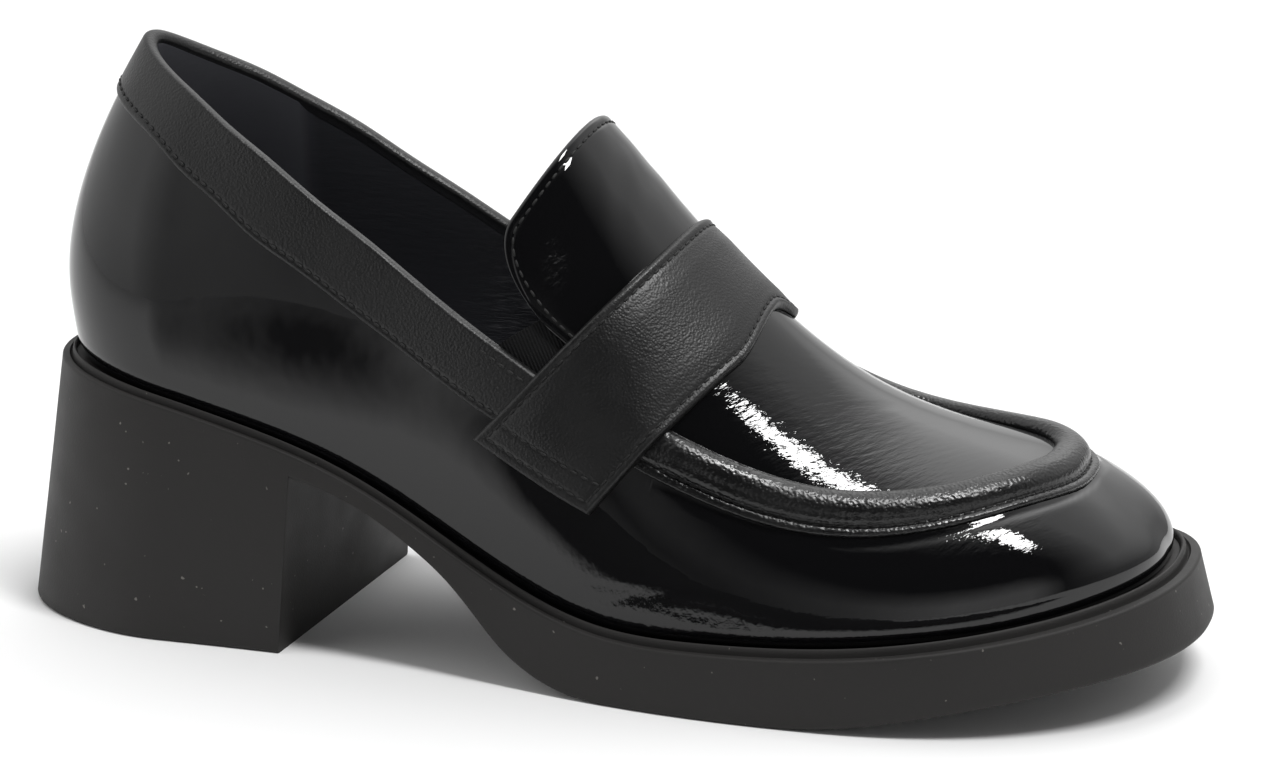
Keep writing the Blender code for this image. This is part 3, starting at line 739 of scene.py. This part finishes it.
# %%
TONGUE_TOP, TONGUE_FALL, TONGUE_CORNER = 133.8, 10.0, 21.0
TONGUE_SHOULDER, TONGUE_HALF = 0.43, 0.552
TURNED_EDGE = 1.0
TONGUE_STITCH, TONGUE_TRENCH, TRENCH_WIDTH = 2.2, 0.15, 0.45
RIPPLE_X, RIPPLE_LENGTH, RIPPLE_BREADTH, RIPPLE_DEPTH = 143.0, 5.0, 0.2, 0.10
SCUFF_X, SCUFF_SIDE, SCUFF_LENGTH, SCUFF_BREADTH = 134.0, 0.42, 3.5, 0.05


def throat_station(girth):
    """Station of the upper's throat edge at a girth."""
    share = np.clip(np.abs(girth) / collar_girth(THROAT_START), 0, 1)
    return THROAT_START + (THROAT_END - THROAT_START) * np.sqrt(1 - share ** 2)


def tongue_top(girth):
    """Station of the tongue's free edge: a shallow arch with rounded corners."""
    side = np.abs(girth)
    corner = np.clip((side - TONGUE_SHOULDER) / (TONGUE_HALF - TONGUE_SHOULDER), 0, 1)
    arch = TONGUE_TOP - TONGUE_FALL * (side / TONGUE_SHOULDER) ** 2
    return arch + TONGUE_CORNER * (1 - np.sqrt(1 - corner ** 2))


def build_tongue():
    """Sheet from the free edge to the throat, its edges rolled under; a lining sheet follows it inside."""
    girth = TONGUE_HALF * np.sin(np.linspace(-np.pi / 2, np.pi / 2, 121))[None, :]
    share = eased(0, 1, 60, True, False)[:, None]
    x = tongue_top(girth) * (1 - share) + (throat_station(girth) - 0.8) * share
    girth = np.broadcast_to(girth, x.shape)
    along, around = last_slopes(x, girth)
    from_top = (x - tongue_top(girth)) * np.linalg.norm(along, axis=-1)
    from_side = (TONGUE_HALF - np.abs(girth)) * np.linalg.norm(around, axis=-1)
    near = np.minimum(from_top, from_side)
    rolled = edge_round(near, TURNED_EDGE)
    trench = TONGUE_TRENCH * np.exp(-((near - TONGUE_STITCH) / TRENCH_WIDTH) ** 2)
    spot = np.exp(-((x - RIPPLE_X) / RIPPLE_LENGTH) ** 2 - (girth / RIPPLE_BREADTH) ** 2)
    ripples = RIPPLE_DEPTH * np.sin((x * 0.9 + girth * 26) * 0.9) * spot
    grid = raised(x, girth, -TURNED_EDGE * (1 - rolled) - trench + ripples)
    aside = (np.abs(girth) - SCUFF_SIDE) / SCUFF_BREADTH
    crinkle = 0.03 + 2.6 * np.exp(-((x - SCUFF_X) / SCUFF_LENGTH) ** 2 - aside ** 2)
    piece = add_sheet("tongue_tab", [grid], [0.9], PATENT, [crinkle])
    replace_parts(piece, "tongue")
    inside = raised(x, girth * 0.995, -TURNED_EDGE * (1 - rolled) - 1.0)
    add_sheet("tongue_lining", [inside], [0.7], LINING, [np.full(x.shape, 0.4)])


build_tongue()

# %% [markdown]
# ## The saddle strap
# A strap of smooth leather crosses the instep. Its edges are folded under, so they are round and about two
# millimetres high, and its front edge is hollowed at the middle. It swells where it rides over the ends of
# the roll, and the stitches pull a shallow trench along its edges.

# %%
STRAP_END = 0.795
STRAP_REAR_RIDGE, STRAP_REAR_FALL, STRAP_REAR_POWER = 154.0, 34.3, 2.09
STRAP_FRONT_RIDGE, STRAP_FRONT_FALL = 174.6, 28.9
STRAP_THICK, STRAP_BRIDGE, STRAP_FOLD = 1.9, 1.2, 1.0
NOTCH_DEPTH, NOTCH_LATERAL, NOTCH_MEDIAL = 3.0, 0.31, 0.18
STITCH_INSET, END_ROWS = 2.1, (2.6, 7.2)
SEAM_TRENCH, SEAM_WIDTH, STRAP_CROWN = 0.2, 0.5, 0.3


def strap_rear(girth):
    """Station of the strap's rear edge."""
    return STRAP_REAR_RIDGE - STRAP_REAR_FALL * (np.abs(girth) / STRAP_END) ** STRAP_REAR_POWER


def strap_front(girth):
    """Station of the strap's front edge, with the hollow at the ridge."""
    half = np.where(girth < 0, NOTCH_LATERAL, NOTCH_MEDIAL)
    notch = np.clip(1 - (girth / half) ** 2, 0, 1) ** 1.5
    return STRAP_FRONT_RIDGE - STRAP_FRONT_FALL * (girth / STRAP_END) ** 2 - NOTCH_DEPTH * notch


def strap_width(girth):
    """Distance between the two edges of the strap."""
    across = last_point(strap_front(girth), girth) - last_point(strap_rear(girth), girth)
    return np.linalg.norm(across, axis=-1)


def strap_lift(x, girth, share):
    """Height of the strap over the last: flat with folded edges, a swelling over the roll, and a trench at
    the thread."""
    end = (STRAP_END - np.abs(girth)) * girth_scale(x, girth)
    edge = np.minimum(share, 1 - share) * strap_width(girth)
    near = np.minimum(edge, end)
    bridge = STRAP_BRIDGE * np.exp(-((np.abs(girth) - roll_reach(girth)) / 0.06) ** 2) * share ** 3
    inside = np.minimum(edge - STITCH_INSET, end - END_ROWS[1])
    box = np.minimum(edge - STITCH_INSET, end - END_ROWS[0])
    rows = np.maximum(np.exp(-(inside / SEAM_WIDTH) ** 2), np.exp(-(box / SEAM_WIDTH) ** 2))
    crown = STRAP_CROWN * smooth_step(inside, 0.0, 5.0)
    return 0.05 + (STRAP_THICK + bridge) * edge_round(near, STRAP_FOLD) - SEAM_TRENCH * rows + crown


def build_strap():
    """Sheet between the two edges, closed underneath by a thin copy of itself."""
    girth = eased(-STRAP_END, STRAP_END, 261, True, True)[None, :]
    share = eased(0, 1, 70, True, True)[:, None]
    x = strap_rear(girth) * (1 - share) + strap_front(girth) * share
    girth, share = np.broadcast_to(girth, x.shape), np.broadcast_to(share, x.shape)
    grid = raised(x, girth, strap_lift(x, girth, share))
    piece = add_sheet("saddle_strap", [grid], [0.04], STRAP_LEATHER)
    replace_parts(piece, "strap")


build_strap()

# %% [markdown]
# ## The topline facing
# A facing of the same leather edges the opening from strap to strap round the heel. Its lower edge is cut
# and stitched down, and its top edge rolls over the rim of the upper to meet the lining.

# %%
FACING_ROWS = ((15, 0.48), (27, 0.513), (39, 0.556), (48, 0.602), (58, 0.643), (67, 0.68), (78, 0.704),
               (90, 0.724), (102, 0.736), (114, 0.746), (134, 0.742))
facing_girth = natural_spline(FACING_ROWS)
FACING_LIFT, FACING_INSIDE, FACING_TURN = 1.0, -2.3, 2.6
FACING_STITCH, FACING_RIM, FACING_TUCK = 1.6, 1.2, 3.0


def facing_section(x, side):
    """Rows of the facing from its cut edge up the outside, over the rim in a half round, down the inside."""
    top, low = collar_girth(x), facing_girth(x)
    scale = girth_scale(x, side * top)
    up = eased(0, 1, 44, True, False)[None, :]
    above = up * (low - top) * scale
    trench = SEAM_TRENCH * np.exp(-((above - FACING_STITCH) / SEAM_WIDTH) ** 2)
    lift = 0.04 + FACING_LIFT * edge_round(above, 0.8) - trench
    outside = raised(x + 0 * up, side * (low + (top - low) * up), lift)
    edge = last_point(x, side * top)
    normal = last_normal(x, side * top)
    upwards = unit(last_point(x, side * (top - 0.01)) - edge)
    turn = np.linspace(0, np.pi, 15)[None, 1:-1, None]
    high, deep = FACING_LIFT + 0.04, FACING_INSIDE
    centre, radius = (high + deep) / 2, (high - deep) / 2
    over = edge + normal * (centre + radius * np.cos(turn)) + upwards * FACING_RIM * np.sin(turn)
    down = np.linspace(0, 1, 8)[None, :]
    inside_girth = top + down * FACING_TURN / scale
    inside = raised(x + 0 * down, side * inside_girth, FACING_INSIDE + 0.5 * down ** 2)
    return np.concatenate([outside, over, inside], 1)


def build_facing():
    """Both sides of the facing, joined at the back seam."""
    share = eased(0, 1, 130, True, False)[:, None]
    x = HEEL_X + (strap_rear(collar_girth(THROAT_START)) + FACING_TUCK - HEEL_X) * share
    lateral, medial = facing_section(x, -1), facing_section(x, 1)
    lateral[0, :, 1] = 0
    medial[0, :, 1] = 0
    medial = medial[:, ::-1]
    piece = add_sheet("topline_facing", [lateral, medial], [0.03, 0.03], BAND_LEATHER)
    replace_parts(piece, "collar_band")


build_facing()

# %% [markdown]
# ## The puffed roll
# The seam between vamp and apron is raised over a cord and covered with leather. The roll is a half round
# that follows an arch on the last, from under the strap on one side round the toe to the other. Outside it
# the cover lies flat as a narrow flange, and the thread runs in the valley between the two.

# %%


def roll_path(angle):
    """Station and girth of the roll's middle line, a rounded arch from side to side."""
    power = 2 / ROLL_POWER
    x = ROLL_BASE + ROLL_LENGTH * np.sin(angle) ** power
    side = -np.sign(np.cos(angle))
    return x, side * roll_reach(side) * np.abs(np.cos(angle)) ** power


def roll_profile():
    """Section of the roll as distance to the inside and height: half round, valley, and a flange with a
    round edge."""
    bend = np.linspace(0, 0.9 * np.pi, 24)
    half_round = np.stack([ROLL_HALF_WIDTH * np.cos(bend), ROLL_HEIGHT * np.sin(bend) ** 0.85], 1)
    start = -ROLL_HALF_WIDTH - 0.15
    valley = [(start, 0.45), (start - 0.3, 0.55)]
    curve = np.linspace(0, np.pi / 2, 6)
    lip = np.stack([start - FLANGE_WIDTH + 0.6 - 0.6 * np.sin(curve), FLANGE_LIFT * np.cos(curve)], 1)
    flange = [(start - 0.55, 0.8 * FLANGE_LIFT), (start - 0.85, FLANGE_LIFT)]
    return np.concatenate([half_round, valley, flange, lip])


def beside(x, girth, distance):
    """Station and girth beside a path: the step square to the path, measured on the last itself."""
    along, around = last_slopes(x, girth)
    step_x, step_g = np.gradient(x), np.gradient(girth)
    e, f, g = (np.sum(a * b, -1) for a, b in ((along, along), (along, around), (around, around)))
    side_x, side_g = -(f * step_x + g * step_g), e * step_x + f * step_g
    length = np.sqrt(e * side_x ** 2 + 2 * f * side_x * side_g + g * side_g ** 2)
    return x + distance * side_x / length, girth + distance * side_g / length


def build_roll():
    """Section carried along the path, each point standing on the last beside it, low under the strap."""
    x, girth = roll_path(np.linspace(0.02, np.pi - 0.02, 320))
    swell = 0.4 + 0.6 * smooth_step(x - strap_front(girth), -2.0, 6.0)
    rows = []
    for distance, height in roll_profile():
        beside_x, beside_g = beside(x, girth, distance)
        rows.append(raised(beside_x, beside_g, 0.03 + height * swell))
    grid = np.stack(rows, 1)
    piece = add_sheet("puffed_roll", [grid], [0.03], ROLL_LEATHER)
    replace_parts(piece, "apron_roll")


build_roll()

# %% [markdown]
# ## The elastic
# Small pieces of ribbed elastic let the tongue give. They sit a little below the surface, between the front
# end of the facing and the edge of the tongue.

# %%
GORE_INNER, GORE_BACK, GORE_FRONT, GORE_SLANT = 0.53, 122.5, 143.0, 11.5
RIB_PITCH, RIB_SLANT, RIB_HEIGHT = 1.25, 107.0, 0.14


def build_gore(name, node, side):
    """Patch between topline and tongue whose height follows a row of ribs."""
    share = np.linspace(0, 1, 120)[:, None]
    across = np.linspace(0, 1, 60)[None, :]
    start = GORE_BACK + GORE_SLANT * across
    x = start + (GORE_FRONT - start) * share
    girth = (opening_girth(x) + 0.004) * (1 - across) + GORE_INNER * across
    ribs = RIB_HEIGHT * np.sin(2 * np.pi * (x - RIB_SLANT * girth) / RIB_PITCH)
    grid = raised(x, side * girth, -1.3 + ribs)
    if side > 0:
        grid = grid[:, ::-1]
    piece = add_sheet(name, [grid], [0.8], ELASTIC)
    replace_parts(piece, node)


build_gore("elastic_lateral", "gore_lateral", -1)
build_gore("elastic_medial", "gore_medial", 1)

# %% [markdown]
# ## The stitches
# Each stitch is a short grain of thread lying along its seam. One grain is a small spindle of points; it is
# copied to evenly spaced places on each seam, turned into the seam's direction, and all grains of a seam
# form one mesh.

# %%
STITCH_PITCH, STITCH_LENGTH, STITCH_WIDTH, STITCH_RISE = 2.3, 1.75, 0.6, 0.3
GRAIN_RINGS, GRAIN_SIDES = 7, 9


def spindle():
    """Closed spindle along its first axis: rings whose size follows a half ellipse."""
    along = np.linspace(0, np.pi, GRAIN_RINGS)
    around = np.linspace(0, 2 * np.pi, GRAIN_SIDES)
    size = np.sin(along)[:, None] ** 0.7
    length = np.broadcast_to(-np.cos(along)[:, None] / 2, (GRAIN_RINGS, GRAIN_SIDES))
    return np.stack([length, size * np.cos(around) / 2, size * np.sin(around)], -1)


def stitch_row(x, girth, lift):
    """Places, directions and normals of stitches along a path on the last, at equal steps of length."""
    points = raised(x, girth, lift)
    normals = last_normal(x, girth)
    travel = np.concatenate([[0], np.cumsum(np.linalg.norm(np.diff(points, axis=0), axis=1))])
    count = max(int(travel[-1] / STITCH_PITCH), 1)
    marks = (np.arange(count) + 0.5) * travel[-1] / count

    def sample(values, where):
        return np.stack([np.interp(where, travel, values[:, k]) for k in range(3)], 1)

    heading = unit(sample(points, marks + 0.4) - sample(points, marks - 0.4))
    return sample(points, marks), heading, unit(sample(normals, marks))


def add_stitches(name, rows):
    """One mesh for all stitches of the given rows."""
    place, heading, normal = (np.concatenate(part) for part in zip(*rows))
    sideways = np.cross(normal, heading)
    grain = spindle().reshape(-1, 3) * (STITCH_LENGTH, STITCH_WIDTH, STITCH_RISE)
    points = (place[:, None] + heading[:, None] * grain[:, :1] + sideways[:, None] * grain[:, 1:2]
              + normal[:, None] * grain[:, 2:]).reshape(-1, 3)
    first = GRAIN_RINGS * GRAIN_SIDES * np.arange(len(place))
    faces = np.concatenate([grid_faces(GRAIN_RINGS, GRAIN_SIDES, start) for start in first])
    points, quads, triangles, _ = weld(points, faces)
    add_mesh(name, points, quads, triangles, THREAD)


def strap_seams():
    """Rows along both long edges of the strap and two rows across each end."""
    tip = STRAP_END - END_ROWS[0] / girth_scale(strap_rear(STRAP_END), -STRAP_END)
    girth = np.linspace(-tip, tip, 300)
    width = strap_width(girth)
    rows = []
    for inset in (STITCH_INSET / width, 1 - STITCH_INSET / width):
        x = strap_rear(girth) * (1 - inset) + strap_front(girth) * inset
        rows.append(stitch_row(x, girth, strap_lift(x, girth, inset)))
    across = np.linspace(STITCH_INSET / width[0], 1 - STITCH_INSET / width[0], 60)
    for side in (-1, 1):
        x = strap_rear(STRAP_END) * (1 - across) + strap_front(STRAP_END) * across
        for end in END_ROWS:
            girth = side * (STRAP_END - end / girth_scale(x, np.full(60, side * STRAP_END)))
            x = strap_rear(girth) * (1 - across) + strap_front(girth) * across
            rows.append(stitch_row(x, girth, strap_lift(x, girth, across)))
    return rows


def facing_seams():
    """Rows along the lower edge of the facing, and along its top edge where the elastic is sewn in."""
    low_x = np.linspace(HEEL_X + 0.3, float(strap_rear(0.74)), 300)
    top_x = np.linspace(GORE_BACK - 2.0, float(strap_rear(0.66)), 60)
    rows = []
    for side in (-1, 1):
        low = facing_girth(low_x) - FACING_STITCH / girth_scale(low_x, side * collar_girth(low_x))
        top = collar_girth(top_x) + 1.8 / girth_scale(top_x, side * collar_girth(top_x))
        rows.append(stitch_row(low_x, side * low, np.full(low_x.shape, FACING_LIFT - 0.06)))
        rows.append(stitch_row(top_x, side * top, np.full(top_x.shape, FACING_LIFT + 0.04)))
    return rows


def tongue_seam():
    """Row inside the free edge of the tongue, up one side, round the arch and down the other."""
    girth = TONGUE_HALF * np.sin(np.linspace(-np.pi / 2, np.pi / 2, 300))
    x = tongue_top(girth)
    side_x = np.linspace(x[0] + 8.0, x[0] + 0.1, 40)
    x = np.concatenate([side_x, x, side_x[::-1]])
    girth = np.concatenate([np.full(40, -TONGUE_HALF), girth, np.full(40, TONGUE_HALF)])
    x, girth = beside(x, girth, -TONGUE_STITCH)
    return [stitch_row(x, girth, np.full(x.shape, -0.12))]


def roll_seam():
    """Row in the valley between the roll and its flange."""
    x, girth = roll_path(np.linspace(0.05, np.pi - 0.05, 400))
    clear = x > strap_front(girth)
    x, girth = beside(x, girth, -ROLL_HALF_WIDTH - 0.3)
    return [stitch_row(x[clear], girth[clear], np.full(clear.sum(), 0.5))]


add_stitches("strap_stitches", strap_seams())
add_stitches("facing_stitches", facing_seams())
add_stitches("tongue_stitches", tongue_seam())
add_stitches("roll_stitches", roll_seam())

# %% [markdown]
# ## Floor, light and camera
# Patent leather shows the room more than itself. The room is pale at the sides and behind, so broad grey
# sheens lie on heel, apron and toe. It is dark in front, and a dark card lies on the floor there as in a
# studio, so the near side stays black; the card is there for reflections only. One soft box overhead gives
# the bright streak along the apron.

# %%
FLOOR_CORNERS = ((-8.0, -8.0), (8.0, -8.0), (8.0, 8.0), (-8.0, 8.0))
FLOOR_SHADE = (0.9, 0.9, 0.9)
CARD_CORNERS = ((0.3, -0.09), (-8.0, -0.09), (-8.0, -8.0), (0.3, -8.0))
CARD_SHADE = (0.02, 0.02, 0.02)
CARD_NEAR, CARD_BEND, CARD_SLOPE, CARD_TURN = 0.092, 0.02, 1.45, 0.213
CARD_FADE, CARD_SPREAD = 0.02, 0.5
DARK_FRONT = (0.38, -0.81, 0.45)
ROOM_LIGHT, ROOM_DARK, FRONT_FADE = 1.05, 0.03, (0.29, 0.79)
GLOW_MIDDLE = 0.04
PATCH_COLUMNS = ("along", "low", "high", "at_low", "at_high")
HORIZON = (("Z", 0.0, 0.2, 0.78, 1.0),)
LOW_RIGHT = (("X", 0.0, 0.3, 0.0, 0.6), ("Z", 0.12, 0.45, 1.0, 0.0))
BACK_GLOW = (("aside", 0.06, 0.32, 1.5, 0.0), ("Z", 0.3, 0.6, 0.0, 1.0), ("Y", 0.1, 0.4, 0.0, 1.0))
FRONT_WALL = (("X", -0.3, 0.4, 0.0, 0.9), ("Z", 0.2, 0.5, 1.0, 0.0), ("Y", -0.6, -0.35, 1.0, 0.0))
LAMP_PLACE, LAMP_HEADING = (1.05, -0.315, 3.0), (0.94, -0.34, 0.0)
LAMP_SIZE, LAMP_BRIGHTNESS = (1.34, 0.44), 36.0
CAMERA_AZIMUTH, CAMERA_ELEVATION, CAMERA_DISTANCE = 18.156, 14.935, 0.680
CAMERA_TARGET = (142.1, 0.0, 54.3)
FOCAL_POINTS, PICTURE_WIDTH, SENSOR_WIDTH = 3244.2, 1272, 36.0


def add_plate(name, corners, height, colour):
    """Level plate with the given corners."""
    mesh = bpy.data.meshes.new(name)
    mesh.from_pydata([(x, y, height) for x, y in corners], [], [range(len(corners))])
    mesh.materials.append(new_material(name, colour, 0.9)[0])
    plate = bpy.data.objects.new(name, mesh)
    bpy.context.scene.collection.objects.link(plate)
    return plate


def add_card():
    """Dark card on the floor in front of the shoe that only shows in reflections. Its near edge runs beside
    the shoe, bends away on the left as a hyperbola, and fades into the floor over a width that grows with
    the bend."""
    card = add_plate("dark_card", CARD_CORNERS, 0.0005, CARD_SHADE)
    tree = card.data.materials[0].node_tree
    split = add_node(tree, "ShaderNodeSeparateXYZ", Vector=stretched(tree, (1.0, 1.0, 1.0)))
    left = math(tree, "MAXIMUM", math(tree, "SUBTRACT", CARD_BEND, split.outputs["X"]), 0.0)
    root = math(tree, "SQRT", math(tree, "ADD", math(tree, "MULTIPLY", left, left), CARD_TURN ** 2))
    bend = math(tree, "MULTIPLY", math(tree, "SUBTRACT", root, CARD_TURN), CARD_SLOPE)
    depth = math(tree, "SUBTRACT", math(tree, "SUBTRACT", -CARD_NEAR, split.outputs["Y"]), bend)
    width = math(tree, "ADD", math(tree, "MULTIPLY", bend, CARD_SPREAD), CARD_FADE)
    shade = blend(tree, ramp(tree, depth, 0.0, width, 0.0, 1.0), FLOOR_SHADE, CARD_SHADE)
    tree.links.new(shade, tree.nodes["Principled BSDF"].inputs["Base Color"])
    card.visible_camera = False
    card.visible_diffuse = False
    card.visible_shadow = False


def patch(tree, places, rows):
    """Part of the room: the product of a ramp for each row, along an axis of the direction."""
    value = 1.0
    for row in rows:
        step = dict(zip(PATCH_COLUMNS, row))
        rise = ramp(tree, places[step["along"]], step["low"], step["high"], step["at_low"], step["at_high"])
        value = math(tree, "MULTIPLY", rise, value)
    return value


def add_room():
    """World light: pale all round but for a dark front, a little dimmer at the horizon and low on the right,
    with a glow high at the back and a low pale wall at the front right."""
    world = bpy.data.worlds.new("studio")
    world.use_nodes = True
    tree = world.node_tree
    direction = tree.nodes.new("ShaderNodeTexCoord").outputs["Generated"]
    split = add_node(tree, "ShaderNodeSeparateXYZ", Vector=direction)
    places = {axis: split.outputs[axis] for axis in "XYZ"}
    places["aside"] = math(tree, "ABSOLUTE", math(tree, "SUBTRACT", places["X"], GLOW_MIDDLE))
    front = tree.nodes.new("ShaderNodeVectorMath")
    front.operation = "DOT_PRODUCT"
    tree.links.new(direction, front.inputs[0])
    front.inputs[1].default_value = DARK_FRONT
    room = ramp(tree, front.outputs["Value"], *FRONT_FADE, ROOM_LIGHT, ROOM_DARK)
    room = math(tree, "MULTIPLY", room, patch(tree, places, HORIZON))
    room = math(tree, "MULTIPLY", room, math(tree, "SUBTRACT", 1.0, patch(tree, places, LOW_RIGHT)))
    room = math(tree, "ADD", room, patch(tree, places, BACK_GLOW))
    room = math(tree, "MAXIMUM", room, patch(tree, places, FRONT_WALL))
    tree.links.new(room, tree.nodes["Background"].inputs["Strength"])
    tree.nodes["Background"].inputs["Color"].default_value = (1.0, 1.0, 1.0, 1.0)
    bpy.context.scene.world = world


def facing_back(place, side, away):
    """Pose of a lamp or camera from its place, its right hand side and the direction it looks away from."""
    columns = np.stack([side, np.cross(away, side), away, place], 1)
    return Matrix(np.vstack([columns, (0, 0, 0, 1)]).tolist())


def add_soft_box(name, place, heading, size, brightness):
    """Rectangular light that looks at the shoe, its long side along a heading; its power follows from its
    area."""
    light = bpy.data.lights.new(name, "AREA")
    light.shape = "RECTANGLE"
    light.size, light.size_y = size
    light.energy = brightness * np.pi * size[0] * size[1]
    lamp = bpy.data.objects.new(name, light)
    away = unit(np.array(place))
    side = unit(np.array(heading) - away * np.dot(heading, away))
    lamp.matrix_world = facing_back(place, side, away)
    lamp.visible_camera = False
    bpy.context.scene.collection.objects.link(lamp)


def add_camera():
    """Camera at the photo's angle: azimuth, elevation, distance and lens were fitted to the shoe's outline.
    The lens is the focal length in picture points carried to the width of the sensor."""
    azimuth, elevation = np.radians(CAMERA_AZIMUTH), np.radians(CAMERA_ELEVATION)
    target = (np.array(CAMERA_TARGET) - MIDDLE) * MM
    level = np.array([np.sin(azimuth), -np.cos(azimuth), 0.0])
    away = level * np.cos(elevation) + np.array([0.0, 0.0, np.sin(elevation)])
    side = np.array([np.cos(azimuth), np.sin(azimuth), 0.0])
    place = target + away * CAMERA_DISTANCE
    data = bpy.data.cameras.new("camera")
    data.sensor_fit = "HORIZONTAL"
    data.sensor_width = SENSOR_WIDTH
    data.lens = FOCAL_POINTS / PICTURE_WIDTH * SENSOR_WIDTH
    data.clip_start, data.clip_end = 0.01, 50.0
    camera = bpy.data.objects.new("camera", data)
    camera.matrix_world = facing_back(place, side, away)
    bpy.context.scene.collection.objects.link(camera)
    bpy.context.scene.camera = camera


add_plate("floor", FLOOR_CORNERS, 0.0, FLOOR_SHADE)
add_card()
add_room()
add_soft_box("overhead", LAMP_PLACE, LAMP_HEADING, LAMP_SIZE, LAMP_BRIGHTNESS)
add_camera()
bpy.context.scene.view_settings.view_transform = "Standard"
